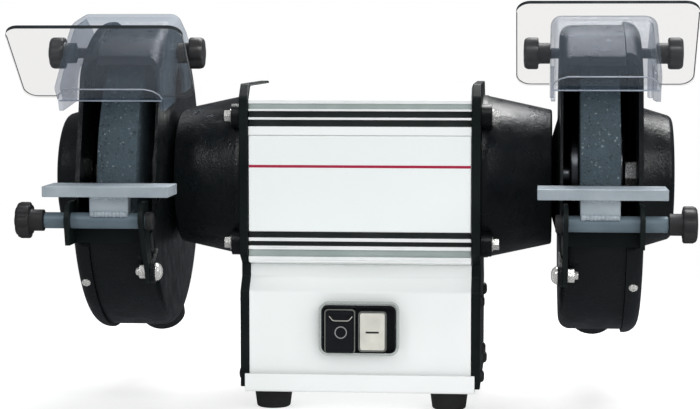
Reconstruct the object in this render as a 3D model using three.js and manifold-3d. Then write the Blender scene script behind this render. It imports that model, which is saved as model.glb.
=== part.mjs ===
// Double-ended bench grinder for 200 mm wheels, in millimetres.
// X runs along the spindle, Y towards the back and Z up. It stands on Z = 0.
// Pieces are described in a frame whose Y = 0 is the spindle axis. Those of the guards, hoods and
// rests also count Z from the spindle axis. A side is 1 for the right end and -1 for the left end.

import * as THREE from 'three';
import { mergeVertices } from 'three/addons/utils/BufferGeometryUtils.js';
import Module from 'manifold-3d';

const wasm = await Module();
wasm.setup();

// ---------------------------------------------------------------- driving dimensions

const GAP = 0.3;                 // clearance kept between neighbouring pieces
const CUT = 60;                  // how far a cutting tool runs past what it cuts

const SPINDLE_HEIGHT = 176;
const SPINDLE_Y = 27.8;          // the spindle's Y, which centres the machine's depth on Y = 0

// Motor body
const BODY_HALF_LENGTH = 85;
const BODY_HALF_DEPTH = 70;
const BODY_BOTTOM = 112;
const BODY_TOP = 248;
const BODY_BORE = 58;
const TOP_CHAMFER_Y = 58;
const TOP_CHAMFER_Z = 237.7;
const GROOVE_DEPTH = 4;
const UPPER_GROOVES = [[217.7, 222.7], [224.6, 229.3], [231, 235]];
const LOWER_GROOVES = [[118.4, 123.6], [126.6, 130], [132.8, 137.3]];
const LABEL_BOTTOM = 137.3;
const LABEL_TOP = 211;
const LABEL_RECESS = 0.8;
const LABEL_THICKNESS = 1.1;
const THREAD_RUNOUT = 1;         // how far a threaded hole runs past its screw

// End plates and bells
const PLATE_THICKNESS = 6.7;
const PLATE_INNER_X = BODY_HALF_LENGTH + GAP;
const PLATE_OUTER_X = PLATE_INNER_X + PLATE_THICKNESS;
const PLATE_BOTTOM = 17;
const PLATE_HOLE = 50;
const BELL_START_X = PLATE_OUTER_X + GAP;
const BELL_END_X = 146;
const BELL_BASE_RADIUS = 64;
const BELL_TIP_RADIUS = 53;
const BELL_WALL = 4;
const BELL_TIP_ROUND = 2;
const PAD_RADIUS = 9.5;
const PAD_END_X = 100;
const PAD_Y = 50;
const PAD_Z = 49;
const SCREW_RADIUS = 2.7;
const SCREW_HEAD_RADIUS = 5.5;
const SCREW_HEAD = 4.7;
const SCREW_DEPTH = 14;          // thread length beyond the end plate's inner face

// Pedestal, base plate and feet
const SHEET = 2;
const PEDESTAL_HALF_DEPTH = 67;
const WAIST_HALF_DEPTH = 56.5;
const WAIST_BOTTOM = 102;
const SHOULDER = 91;
const BASE_HALF_LENGTH = 88;
const BASE_HALF_DEPTH = 72;
const BASE_BOTTOM = 14;
const BASE_LIP_TOP = 28;
const FOOT_RADIUS = 14.5;
const FOOT_X = 68;
const FOOT_Y = 52;
const GLAND_X = 40;
const GLAND_Z = 50;
const GLAND_THREAD_RADIUS = 8;
const GLAND_COLLAR_RADIUS = 12;
const GLAND_NOSE_RADIUS = 9;
const GLAND_BORE = 4;
const GLAND_REACH = 16;          // how far the gland stands out behind the pedestal

// Motor inside
const CORE_HALF_LENGTH = 35;
const STATOR_RADIUS = 57.4;
const STATOR_BORE = 31;
const ROTOR_RADIUS = 30.4;
const COIL_END_X = 57;
const COIL_BORE = 33;
const COIL_RADIUS = 52;
const CAPACITOR_RADIUS = 18;
const BEARING_RADIUS = 23.5;
const BEARING_START_X = 126;
const BEARING_END_X = 140;

// Spindle and wheels
const SHAFT_RADIUS = 10;
const THREAD_RADIUS = 8;
const SHAFT_SHOULDER_X = 159.7;
const SHAFT_END_X = 219;
const WHEEL_X = 181;             // middle of the wheel's width
const WHEEL_WIDTH = 30;
const WHEEL_RADIUS = 100;
const WHEEL_BORE = 16.2;
const FLANGE_RADIUS = 35;
const FLANGE_THICKNESS = 5.7;
const SPIGOT_RADIUS = 15.8;
const NUT_FLATS = 24;
const NUT_LENGTH = 12.7;

// Guards
const CASING_X = 151.5;
const CASING_HUB_X = 146.4;      // the hub stands out towards the bell
const CASING_HUB_RADIUS = 33;
const CASING_HUB_FOOT = 50;      // radius where the hub's cone meets the flat wall
const CASING_RADIUS = 119;
const CASING_RIM_X = 200;
const CASING_CORNER = 9;
const CASING_WALL = 3.5;
const COVER_RADIUS = 121.5;
const COVER_FACE_X = 213;
const COVER_CORNER = 11;
const COVER_WALL = 3.5;
const BOSS_BASE_RADIUS = 55;
const BOSS_TIP_RADIUS = 48;
const BOSS_END_X = 239;
const MOUTH_DISTANCE = 95.3;     // from the spindle axis to the plane that the mouth is cut on
const MOUTH_TILT = 15.2;         // degrees that the mouth looks up from straight ahead
const PORT_ANGLE = 51;           // degrees that the dust port points down from straight back
const PORT_RADIUS = 18;
const PORT_BORE = 15;
const PORT_REACH = 162;
const LUG_Y = -107.3;
const LUG_Z = -66.1;
const LUG_X = 150;
const LUG_RADIUS = 8.5;
const LUG_BOLT_RADIUS = 3;
const LUG_BOLT_HEAD_RADIUS = 7;
const LUG_BOLT_HEAD = 4.7;
const LUG_NUT_FLATS = 10;
const LUG_NUT_LENGTH = 5;

// Spark hoods and eye shields
const HOOD_PIVOT_Y = -35;
const HOOD_PIVOT_Z = 97;
const HOOD_X = 184.3;
const HOOD_HALF_WIDTH = 40;
const HOOD_WALL = 3;
const HOOD_WINDOW_Y = -30;
const HOOD_WINDOW_RADIUS = 23;
const HOOD_BOTTOM_Z = 62;
const LEFT_HOOD_TILT = 7;        // degrees that the left hood is set lower than the right one
const SHIELD_X = 182.8;
const SHIELD_Y = -142.6;         // middle of the shield with its hood level
const SHIELD_Z = 105.2;
const SHIELD_LEAN = 135;         // degrees from flat, so that its top edge leans forward
const SHIELD_WIDTH = 128.5;
const SHIELD_HEIGHT = 83;
const SHIELD_THICKNESS = 3;
const SHIELD_CORNER = 10;
const STUD_RADIUS = 4;
const HOOD_KNOB_NECK = [8, 9];   // radius and length
const HOOD_KNOB_HEAD = [13, 11.5];

// Tool rests
const BAR_Y = -130;
const BAR_Z = -26;
const BAR_RADIUS = 6;
const BAR_START_X = 148;
const BAR_END_X = 229;
const REST_X = 181.5;
const REST_WIDTH = 94;
const REST_THICKNESS = 8;
const REST_FRONT_Y = -142;
const REST_BACK_Y = -102.5;
const REST_WEB_X = 180;
const REST_WEB_WIDTH = 29;
const EAR_RADIUS = 14;
const EAR_THICKNESS = 3.5;
const EAR_INNER_X = 153.5;
const EAR_OUTER_X = 208.5;
const EAR_BACK_Y = -112;
const EAR_BOTTOM_Z = -44;
const WEB_TOP_Z = -24;           // top of the bracket's cross web
const REST_KNOB_STUD = 3.5;
const REST_KNOB_NECK = [8, 9.7];
const REST_KNOB_HEAD = [13.5, 11];

// Switch
const SWITCH_Z = 63.8;
const SWITCH_WIDTH = 61;
const SWITCH_HEIGHT = 40.5;
const SWITCH_FRONT_Y = -77;
const SWITCH_BODY_WIDTH = 54;
const SWITCH_BODY_HEIGHT = 34;
const SWITCH_BACK_Y = -40;
const POCKET_FLOOR_Y = -69;
const POCKET_Z = [45.2, 80.6];
const BUTTON_Z = 61.9;
const STOP_BUTTON_X = [-25, -4];
const STOP_BUTTON_HEIGHT = 31.5;
const START_BUTTON_X = [0.9, 19.9];
const START_BUTTON_HEIGHT = 28.5;
const BUTTON_BACK_Y = -73.3;
const BUTTON_FRONT_Y = -76.6;

// ---------------------------------------------------------------- solids

// How many flat sides stand for a circle.
const ROUND = { large: 32, medium: 18, small: 10 };

// A geometry as a manifold solid, with its faces turned outwards.
function solid(geometry) {
  geometry.deleteAttribute('normal');
  geometry.deleteAttribute('uv');
  const merged = mergeVertices(geometry, 1e-4);
  const position = merged.attributes.position;
  const corners = [];
  for (let face = 0; face < merged.index.count; face += 3) {
    const [a, b, c] = [0, 1, 2].map((step) => merged.index.getX(face + step));
    if (a !== b && b !== c && c !== a) corners.push([a, b, c]);
  }
  const at = (index) => new THREE.Vector3().fromBufferAttribute(position, index);
  const volume = corners.reduce((sum, [a, b, c]) => sum + at(a).dot(at(b).cross(at(c))), 0);
  const outward = volume > 0 ? corners : corners.map(([a, b, c]) => [a, c, b]);
  return new wasm.Manifold(new wasm.Mesh({
    numProp: 3,
    vertProperties: new Float32Array(position.array),
    triVerts: new Uint32Array(outward.flat()),
  }));
}

function geometryOf(body) {
  const mesh = body.getMesh();
  const geometry = new THREE.BufferGeometry();
  geometry.setAttribute('position', new THREE.BufferAttribute(mesh.vertProperties, 3));
  geometry.setIndex(new THREE.BufferAttribute(mesh.triVerts, 1));
  geometry.computeVertexNormals();
  return geometry;
}

const joined = (first, ...others) => others.reduce((body, other) => body.add(other), first);
const cutBy = (first, ...tools) => tools.reduce((body, tool) => body.subtract(tool), first);
const shapeOf = (points) => new THREE.Shape(points.map(([a, b]) => new THREE.Vector2(a, b)));

// The X range from a to b at the right end, mirrored for the left end.
const span = (side, a, b) => (side > 0 ? [a, b] : [-b, -a]);

// A box between two X, two Y and two Z values.
function block([x0, x1], [y0, y1], [z0, z1]) {
  const box = new THREE.BoxGeometry(x1 - x0, y1 - y0, z1 - z0);
  box.translate((x0 + x1) / 2, (y0 + y1) / 2, (z0 + z1) / 2);
  return solid(box);
}

// An outline in Y and Z, extruded along X.
function slab(shape, [x0, x1], curveSegments = 8) {
  const body = new THREE.ExtrudeGeometry(shape, { depth: x1 - x0, bevelEnabled: false, curveSegments });
  const [ex, ey, ez] = [[1, 0, 0], [0, 1, 0], [0, 0, 1]].map((axis) => new THREE.Vector3(...axis));
  body.applyMatrix4(new THREE.Matrix4().makeBasis(ey, ez, ex));
  body.translate(x0, 0, 0);
  return solid(body);
}

// A profile of [radius, distance along X] points, turned about X and mirrored for the left end.
function turned(profile, side, segments) {
  const lathe = new THREE.LatheGeometry(profile.map(([r, x]) => new THREE.Vector2(r, x)), segments);
  lathe.rotateZ(-side * Math.PI / 2);
  return solid(lathe);
}

// The profile of a plain ring, for turned().
const ring = (inner, outer, x0, x1) => [[inner, x0], [outer, x0], [outer, x1], [inner, x1], [inner, x0]];

// Points of a quarter round of a profile, from one angle to another in degrees.
function arc(centreR, centreX, radius, fromAngle, toAngle, steps = 4) {
  return Array.from({ length: steps + 1 }, (_, step) => {
    const angle = THREE.MathUtils.degToRad(fromAngle + (toAngle - fromAngle) * step / steps);
    return [centreR + radius * Math.cos(angle), centreX + radius * Math.sin(angle)];
  });
}

// A round bar along X, centred on a point of the Y-Z plane. Six segments give a hexagon.
function rod(radius, [x0, x1], y = 0, z = 0, segments = ROUND.small) {
  const bar = new THREE.CylinderGeometry(radius, radius, x1 - x0, segments);
  bar.rotateZ(Math.PI / 2);
  bar.translate((x0 + x1) / 2, y, z);
  return solid(bar);
}

const machine = new THREE.Group();
machine.position.set(0, SPINDLE_Y, 0);

const atSpindle = new THREE.Group();
atSpindle.position.set(0, 0, SPINDLE_HEIGHT);
machine.add(atSpindle);

function addPiece(name, body, material, parent = machine) {
  const mesh = new THREE.Mesh(geometryOf(body), material);
  mesh.name = name;
  parent.add(mesh);
  return mesh;
}

// ---------------------------------------------------------------- materials

const finish = (color, roughness, metalness = 0, extra = {}) =>
  new THREE.MeshStandardMaterial({ color, roughness, metalness, ...extra });

const BLACK_PAINT = finish(0x14181a, 0.35);
const PLATE_PAINT = finish(0x1d2322, 0.45);
const WHITE_PAINT = finish(0xe2e6e5, 0.45);
const LABEL_WHITE = finish(0xeef2f3, 0.4);
const CAST_ALUMINIUM = finish(0xd5d9da, 0.4, 0.6);
const STEEL = finish(0xa9b0b6, 0.4, 0.9);
const ZINC = finish(0xc9ccd0, 0.3, 0.95);
const ABRASIVE = finish(0x4d585e, 0.95);
const COPPER = finish(0xa5572c, 0.4, 0.8);
const CORE_STEEL = finish(0x70757a, 0.5, 0.8);
const RUBBER = finish(0x1b1b1c, 0.85);
const BLACK_PLASTIC = finish(0x262627, 0.6);
const CREAM_PLASTIC = finish(0xe6e2d6, 0.4);
const GREY_PLASTIC = finish(0x5b6065, 0.6);
const CLEAR_PLASTIC = finish(0xbfc9d4, 0.08, 0, { transparent: true, opacity: 0.35 });

// ---------------------------------------------------------------- motor body

// The corner of the body that carries a bell screw, as [Y, Z from the spindle].
const PAD_CENTRES = [[-PAD_Y, PAD_Z], [-PAD_Y, -PAD_Z], [PAD_Y, PAD_Z], [PAD_Y, -PAD_Z]];
const padHoles = (xRange) =>
  PAD_CENTRES.map(([y, z]) => rod(SCREW_RADIUS + GAP, xRange, y, z + SPINDLE_HEIGHT));

// The ribbed profile of one side of the body, from the bottom up, for Y = side * depth.
function bodySide(side) {
  const ribbed = [[BODY_HALF_DEPTH - GROOVE_DEPTH, BODY_BOTTOM], [BODY_HALF_DEPTH, BODY_BOTTOM + 3]];
  const groove = ([low, high]) => ribbed.push(
    [BODY_HALF_DEPTH, low], [BODY_HALF_DEPTH - GROOVE_DEPTH, low],
    [BODY_HALF_DEPTH - GROOVE_DEPTH, high], [BODY_HALF_DEPTH, high],
  );
  LOWER_GROOVES.forEach(groove);
  ribbed.pop();
  ribbed.push([BODY_HALF_DEPTH - LABEL_RECESS, LABEL_BOTTOM], [BODY_HALF_DEPTH - LABEL_RECESS, LABEL_TOP]);
  ribbed.push([BODY_HALF_DEPTH, LABEL_TOP]);
  UPPER_GROOVES.forEach(groove);
  ribbed.push([BODY_HALF_DEPTH, TOP_CHAMFER_Z], [TOP_CHAMFER_Y, BODY_TOP]);
  return ribbed.map(([depth, z]) => [side * depth, z]);
}

function motorHousing() {
  const outline = shapeOf([...bodySide(1), ...bodySide(-1).reverse()]);
  const ends = [-BODY_HALF_LENGTH, BODY_HALF_LENGTH];
  const bore = rod(BODY_BORE, [-CUT - ends[1], CUT + ends[1]], 0, SPINDLE_HEIGHT, ROUND.large);
  const threads = [-1, 1].flatMap((side) =>
    padHoles(span(side, BODY_HALF_LENGTH - SCREW_DEPTH - THREAD_RUNOUT, BODY_HALF_LENGTH + 1)));
  return cutBy(slab(outline, ends), bore, ...threads);
}

function labelPlate() {
  const back = -(BODY_HALF_DEPTH - LABEL_RECESS + GAP);
  const edge = GAP + 0.2;
  return block(
    [-BODY_HALF_LENGTH + edge, BODY_HALF_LENGTH - edge],
    [back - LABEL_THICKNESS, back],
    [LABEL_BOTTOM + edge, LABEL_TOP - edge],
  );
}

function endPlate(side) {
  const half = [
    [61, BODY_TOP + 2], [BODY_HALF_DEPTH + 2, 240], [BODY_HALF_DEPTH + 2, 121],
    [WAIST_HALF_DEPTH, 111.5], [WAIST_HALF_DEPTH, WAIST_BOTTOM],
    [PEDESTAL_HALF_DEPTH, SHOULDER], [PEDESTAL_HALF_DEPTH, PLATE_BOTTOM],
  ];
  const outline = shapeOf([...half, ...half.map(([y, z]) => [-y, z]).reverse()]);
  const x = span(side, PLATE_INNER_X, PLATE_OUTER_X);
  const past = span(side, PLATE_INNER_X - 1, PLATE_OUTER_X + 1);
  return cutBy(slab(outline, x), rod(PLATE_HOLE, past, 0, SPINDLE_HEIGHT, ROUND.large), ...padHoles(past));
}

function bellHousing(side) {
  const slope = (BELL_BASE_RADIUS - BELL_TIP_RADIUS) / (BELL_END_X - BELL_START_X);
  const outerAt = (x) => BELL_BASE_RADIUS - slope * (x - BELL_START_X);
  const wallX = BELL_END_X - 5;
  const seat = BEARING_RADIUS + GAP;
  const profile = [
    [SHAFT_RADIUS + 2, BELL_END_X],
    [BELL_TIP_RADIUS - BELL_TIP_ROUND, BELL_END_X],
    ...arc(BELL_TIP_RADIUS - BELL_TIP_ROUND, BELL_END_X - BELL_TIP_ROUND, BELL_TIP_ROUND, 60, 0, 2),
    [BELL_BASE_RADIUS, BELL_START_X],
    [BELL_BASE_RADIUS - BELL_WALL, BELL_START_X],
    [outerAt(wallX - 1) - BELL_WALL, wallX - 1],
    [seat + 4, wallX - 1],
    [seat + 4, BEARING_START_X - 1],
    [seat, BEARING_START_X - 1],
    [seat, BEARING_END_X + GAP],
    [SHAFT_RADIUS + 2, BEARING_END_X + GAP],
    [SHAFT_RADIUS + 2, BELL_END_X],
  ];
  const shell = turned(profile, side, ROUND.large);
  const x = span(side, BELL_START_X, PAD_END_X);
  const pads = PAD_CENTRES.map(([y, z]) => rod(PAD_RADIUS, x, y, z, 14));
  const hollow = turned(
    [[0, BELL_START_X - 1], [BELL_BASE_RADIUS - BELL_WALL, BELL_START_X - 1],
      [outerAt(PAD_END_X + 2) - BELL_WALL, PAD_END_X + 2], [0, PAD_END_X + 2]],
    side, ROUND.large);
  const holes = PAD_CENTRES.map(([y, z]) =>
    rod(SCREW_RADIUS + GAP, span(side, BELL_START_X - 1, PAD_END_X + 1), y, z));
  return cutBy(joined(shell, ...pads), hollow, ...holes);
}

function bellScrew(side, [y, z]) {
  const head = rod(SCREW_HEAD_RADIUS, span(side, PAD_END_X + GAP, PAD_END_X + GAP + SCREW_HEAD), y, z, 6);
  const shank = rod(SCREW_RADIUS, span(side, BODY_HALF_LENGTH - SCREW_DEPTH, PAD_END_X + 1), y, z, 10);
  return joined(head, shank);
}

addPiece('motor_housing', motorHousing(), CAST_ALUMINIUM);
addPiece('label_plate', labelPlate(), LABEL_WHITE);
addPiece('stator_core', turned(ring(STATOR_BORE, STATOR_RADIUS, -CORE_HALF_LENGTH, CORE_HALF_LENGTH), 1,
  ROUND.large), CORE_STEEL, atSpindle);
addPiece('rotor_core', turned(ring(SHAFT_RADIUS + GAP, ROTOR_RADIUS, -CORE_HALF_LENGTH, CORE_HALF_LENGTH), 1,
  ROUND.medium), CORE_STEEL, atSpindle);

// ---------------------------------------------------------------- pedestal and base

// The pedestal's cross-section, drawn in by the sheet's thickness for the inner face.
function pedestalOutline(inset, bottom) {
  const half = [
    [PEDESTAL_HALF_DEPTH - inset, bottom],
    [PEDESTAL_HALF_DEPTH - inset, SHOULDER - inset / 2],
    [WAIST_HALF_DEPTH - inset, WAIST_BOTTOM - inset / 2],
    [WAIST_HALF_DEPTH - inset, BODY_BOTTOM - GAP - inset],
  ];
  return shapeOf([...half, ...half.map(([y, z]) => [-y, z]).reverse()]);
}

function pedestal() {
  const floor = BASE_BOTTOM + SHEET + GAP;
  const outer = slab(pedestalOutline(0, floor), [-BODY_HALF_LENGTH, BODY_HALF_LENGTH]);
  const inner = slab(pedestalOutline(SHEET, floor - 5), [-BODY_HALF_LENGTH - 5, BODY_HALF_LENGTH + 5]);
  const window = block(
    [-SWITCH_BODY_WIDTH / 2 - GAP, SWITCH_BODY_WIDTH / 2 + GAP],
    [-PEDESTAL_HALF_DEPTH - 5, -PEDESTAL_HALF_DEPTH + 10],
    [SWITCH_Z - SWITCH_BODY_HEIGHT / 2 - GAP, SWITCH_Z + SWITCH_BODY_HEIGHT / 2 + GAP],
  );
  const glandHole = alongY(rod(GLAND_THREAD_RADIUS + GAP,
    [PEDESTAL_HALF_DEPTH - 10, PEDESTAL_HALF_DEPTH + 5], 0, 0, ROUND.medium));
  return cutBy(outer, inner, window, glandHole);
}

function basePlate() {
  const outline = shapeOf([
    [-BASE_HALF_DEPTH, BASE_BOTTOM], [BASE_HALF_DEPTH, BASE_BOTTOM],
    [BASE_HALF_DEPTH, BASE_LIP_TOP], [BASE_HALF_DEPTH - SHEET, BASE_LIP_TOP],
    [BASE_HALF_DEPTH - SHEET, BASE_BOTTOM + SHEET], [-BASE_HALF_DEPTH + SHEET, BASE_BOTTOM + SHEET],
    [-BASE_HALF_DEPTH + SHEET, BASE_LIP_TOP], [-BASE_HALF_DEPTH, BASE_LIP_TOP],
  ]);
  return slab(outline, [-BASE_HALF_LENGTH, BASE_HALF_LENGTH]);
}

function foot() {
  const pad = new THREE.CylinderGeometry(FOOT_RADIUS, FOOT_RADIUS - 1.5, BASE_BOTTOM - GAP, ROUND.medium);
  pad.rotateX(Math.PI / 2);
  pad.translate(0, 0, (BASE_BOTTOM - GAP) / 2);
  return solid(pad);
}

// Turns a body made along X so that it runs along Y, at the gland's place.
function alongY(body) {
  const geometry = geometryOf(body);
  geometry.rotateZ(Math.PI / 2);
  geometry.translate(GLAND_X, 0, GLAND_Z);
  return solid(geometry);
}

// The cable gland in the back of the pedestal, open through its middle.
function cableGland() {
  const wall = PEDESTAL_HALF_DEPTH;
  const collar = rod(GLAND_COLLAR_RADIUS, [wall + GAP, wall + 6], 0, 0, 6);
  const nose = rod(GLAND_NOSE_RADIUS, [wall + 5, wall + GLAND_REACH], 0, 0, ROUND.medium);
  const thread = rod(GLAND_THREAD_RADIUS, [wall - 12, wall + 6], 0, 0, ROUND.medium);
  return alongY(cutBy(joined(collar, nose, thread), rod(GLAND_BORE, [wall - CUT, wall + CUT])));
}

addPiece('pedestal', pedestal(), WHITE_PAINT);
addPiece('base_plate', basePlate(), WHITE_PAINT);
addPiece('cable_gland', cableGland(), BLACK_PLASTIC);
addPiece('capacitor', rod(CAPACITOR_RADIUS, [2, 72], 22, 42, 16), GREY_PLASTIC);
addPiece('terminal_block', block([-60, -20], [8, 26], [BASE_BOTTOM + SHEET + GAP, 32]), CREAM_PLASTIC);
for (const [end, x] of [['left', -FOOT_X], ['right', FOOT_X]]) {
  for (const [row, y] of [['front', -FOOT_Y], ['back', FOOT_Y]]) {
    addPiece(`${end}_${row}_foot`, foot(), RUBBER).position.set(x, y, 0);
  }
}

// ---------------------------------------------------------------- switch

function switchHousing() {
  const around = (width) => [-width / 2, width / 2];
  const height = (size) => [SWITCH_Z - size / 2, SWITCH_Z + size / 2];
  const bezel = block(around(SWITCH_WIDTH), [SWITCH_FRONT_Y, -PEDESTAL_HALF_DEPTH - GAP],
    height(SWITCH_HEIGHT));
  const body = block(around(SWITCH_BODY_WIDTH), [-PEDESTAL_HALF_DEPTH - 1, SWITCH_BACK_Y],
    height(SWITCH_BODY_HEIGHT));
  const pocket = block(around(SWITCH_WIDTH - 7), [SWITCH_FRONT_Y - 5, POCKET_FLOOR_Y], POCKET_Z);
  return cutBy(joined(bezel, body), pocket);
}

const button = (x, height) =>
  block(x, [BUTTON_FRONT_Y, BUTTON_BACK_Y], [BUTTON_Z - height / 2, BUTTON_Z + height / 2]);

addPiece('switch_housing', switchHousing(), BLACK_PLASTIC);
addPiece('stop_button', button(STOP_BUTTON_X, STOP_BUTTON_HEIGHT), BLACK_PLASTIC);
addPiece('start_button', button(START_BUTTON_X, START_BUTTON_HEIGHT), CREAM_PLASTIC);

// ---------------------------------------------------------------- spindle and wheels

function spindleShaft() {
  const half = [[0, SHAFT_END_X], [THREAD_RADIUS, SHAFT_END_X], [THREAD_RADIUS, SHAFT_SHOULDER_X],
    [SHAFT_RADIUS, SHAFT_SHOULDER_X]];
  return turned([...half, ...half.map(([r, x]) => [r, -x]).reverse()], 1, ROUND.medium);
}

const WHEEL_START_X = WHEEL_X - WHEEL_WIDTH / 2;
const WHEEL_END_X = WHEEL_X + WHEEL_WIDTH / 2;

function innerFlange(side) {
  const face = WHEEL_START_X - GAP;
  const profile = [
    [THREAD_RADIUS + GAP, face - FLANGE_THICKNESS],
    [FLANGE_RADIUS, face - FLANGE_THICKNESS],
    [FLANGE_RADIUS, face],
    [SPIGOT_RADIUS, face],
    [SPIGOT_RADIUS, WHEEL_END_X - 1],
    [THREAD_RADIUS + GAP, WHEEL_END_X - 1],
    [THREAD_RADIUS + GAP, face - FLANGE_THICKNESS],
  ];
  return turned(profile, side, ROUND.medium);
}

function buildWheelEnd(name, side) {
  const outerFlangeX = WHEEL_END_X + GAP;
  const nutX = outerFlangeX + FLANGE_THICKNESS + GAP;
  const wheel = ring(WHEEL_BORE, WHEEL_RADIUS, WHEEL_START_X, WHEEL_END_X);
  const outerFlange = ring(THREAD_RADIUS + GAP, FLANGE_RADIUS, outerFlangeX, outerFlangeX + FLANGE_THICKNESS);
  const bearing = ring(SHAFT_RADIUS + GAP, BEARING_RADIUS, BEARING_START_X, BEARING_END_X);
  const coils = ring(COIL_BORE, COIL_RADIUS, CORE_HALF_LENGTH + GAP, COIL_END_X);
  const nut = cutBy(
    rod(NUT_FLATS / Math.sqrt(3), span(side, nutX, nutX + NUT_LENGTH), 0, 0, 6),
    rod(THREAD_RADIUS + GAP, span(side, nutX - 1, nutX + NUT_LENGTH + 1), 0, 0, 20));
  addPiece(`${name}_coil_end`, turned(coils, side, ROUND.medium), COPPER, atSpindle);
  addPiece(`${name}_bearing`, turned(bearing, side, ROUND.medium), STEEL, atSpindle);
  addPiece(`${name}_inner_flange`, innerFlange(side), STEEL, atSpindle);
  addPiece(`${name}_wheel`, turned(wheel, side, ROUND.large), ABRASIVE, atSpindle);
  addPiece(`${name}_outer_flange`, turned(outerFlange, side, ROUND.medium), STEEL, atSpindle);
  addPiece(`${name}_spindle_nut`, nut, ZINC, atSpindle);
}

// ---------------------------------------------------------------- guards

// A half space in front of the mouth's plane, which opens a guard towards the wheel's working face.
function mouthCutter(side) {
  const tool = new THREE.BoxGeometry(200, 100, 400);
  tool.translate(0, -50 - MOUTH_DISTANCE, 0);
  tool.rotateX(-THREE.MathUtils.degToRad(MOUTH_TILT));
  tool.translate(side * WHEEL_X, 0, 0);
  return solid(tool);
}

// A round bar that points from the spindle axis along the dust port.
function portBar(side, radius, from, to) {
  const bar = new THREE.CylinderGeometry(radius, radius, to - from, 20);
  bar.translate(0, (from + to) / 2, 0);
  bar.rotateX(-THREE.MathUtils.degToRad(PORT_ANGLE));
  bar.translate(side * WHEEL_X, 0, 0);
  return solid(bar);
}

function guardCasing(side) {
  const cornerR = CASING_RADIUS - CASING_CORNER;
  const cornerX = CASING_X + CASING_CORNER;
  const profile = [
    [SHAFT_RADIUS + 2, CASING_HUB_X],
    [CASING_HUB_RADIUS, CASING_HUB_X],
    [CASING_HUB_FOOT, CASING_X],
    ...arc(cornerR, cornerX, CASING_CORNER, -90, 0),
    [CASING_RADIUS, CASING_RIM_X],
    [CASING_RADIUS - CASING_WALL, CASING_RIM_X],
    ...arc(cornerR, cornerX, CASING_CORNER - CASING_WALL, 0, -90),
    [CASING_HUB_FOOT - 1, CASING_X + CASING_WALL],
    [CASING_HUB_RADIUS - 1, CASING_HUB_X + CASING_WALL],
    [SHAFT_RADIUS + 2, CASING_HUB_X + CASING_WALL],
    [SHAFT_RADIUS + 2, CASING_HUB_X],
  ];
  const shell = turned(profile, side, ROUND.large);
  const lugAngle = Math.atan2(LUG_Z, LUG_Y);
  const lug = new THREE.Shape();
  lug.absarc(LUG_Y, LUG_Z, LUG_RADIUS, lugAngle - Math.PI / 2, lugAngle + Math.PI / 2, false);
  lug.lineTo(LUG_Y * 0.85 - LUG_RADIUS * Math.sin(lugAngle), LUG_Z * 0.85 + LUG_RADIUS * Math.cos(lugAngle));
  lug.lineTo(LUG_Y * 0.85 + LUG_RADIUS * Math.sin(lugAngle), LUG_Z * 0.85 - LUG_RADIUS * Math.cos(lugAngle));
  const lugX = span(side, LUG_X, EAR_INNER_X - GAP);
  const opened = cutBy(joined(shell, slab(lug, lugX)), mouthCutter(side));
  const past = span(side, CASING_X - 10, CASING_X + 10);
  return cutBy(
    joined(opened, portBar(side, PORT_RADIUS, CASING_RADIUS - CASING_WALL - 1, PORT_REACH)),
    portBar(side, PORT_BORE, CASING_RADIUS - 30, PORT_REACH + 1),
    rod(CASING_RADIUS - CASING_WALL, span(side, cornerX, CASING_RIM_X + 1), 0, 0, ROUND.large),
    rod(LUG_BOLT_RADIUS + GAP, past, LUG_Y, LUG_Z),
    rod(STUD_RADIUS + GAP, past, HOOD_PIVOT_Y, HOOD_PIVOT_Z));
}

function guardCover(side) {
  const rimX = CASING_RIM_X + GAP;
  const cornerR = COVER_RADIUS - COVER_CORNER;
  const cornerX = COVER_FACE_X - COVER_CORNER;
  const profile = [
    [0, BOSS_END_X - COVER_WALL],
    [BOSS_TIP_RADIUS - 5, BOSS_END_X - COVER_WALL],
    [BOSS_BASE_RADIUS - COVER_WALL, COVER_FACE_X - COVER_WALL],
    ...arc(cornerR, cornerX, COVER_CORNER - COVER_WALL, 90, 0),
    [COVER_RADIUS - COVER_WALL, rimX],
    [COVER_RADIUS, rimX],
    ...arc(cornerR, cornerX, COVER_CORNER, 0, 90),
    [BOSS_BASE_RADIUS, COVER_FACE_X],
    [BOSS_TIP_RADIUS, BOSS_END_X - 4],
    [BOSS_TIP_RADIUS - 4, BOSS_END_X],
    [0, BOSS_END_X],
  ];
  const studHole = rod(STUD_RADIUS + GAP, span(side, COVER_FACE_X - 10, COVER_FACE_X + 10),
    HOOD_PIVOT_Y, HOOD_PIVOT_Z);
  return cutBy(turned(profile, side, ROUND.large), mouthCutter(side), studHole);
}

function guardBolt(side) {
  const seat = LUG_X - GAP;
  const head = rod(LUG_BOLT_HEAD_RADIUS, span(side, seat - LUG_BOLT_HEAD, seat), LUG_Y, LUG_Z, 16);
  const shank = rod(LUG_BOLT_RADIUS, span(side, LUG_X - 1, LUG_X + 14), LUG_Y, LUG_Z);
  return joined(head, shank);
}

function guardNut(side) {
  const x = EAR_INNER_X + EAR_THICKNESS + GAP;
  return cutBy(
    rod(LUG_NUT_FLATS / Math.sqrt(3), span(side, x, x + LUG_NUT_LENGTH), LUG_Y, LUG_Z, 6),
    rod(LUG_BOLT_RADIUS + GAP, span(side, x - 1, x + LUG_NUT_LENGTH + 1), LUG_Y, LUG_Z));
}

// ---------------------------------------------------------------- spark hoods

// The hood's top and front, from the back of its roof down to the foot of its front flange.
const HOOD_BACK = [[25, HOOD_BOTTOM_Z], [25, 109]];
const HOOD_ROOF = [-15, 126];
const HOOD_FRONT = [[-58, 125], [-82, 112], [-118, 81], [-107, 70], [-104, HOOD_BOTTOM_Z]];

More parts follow.
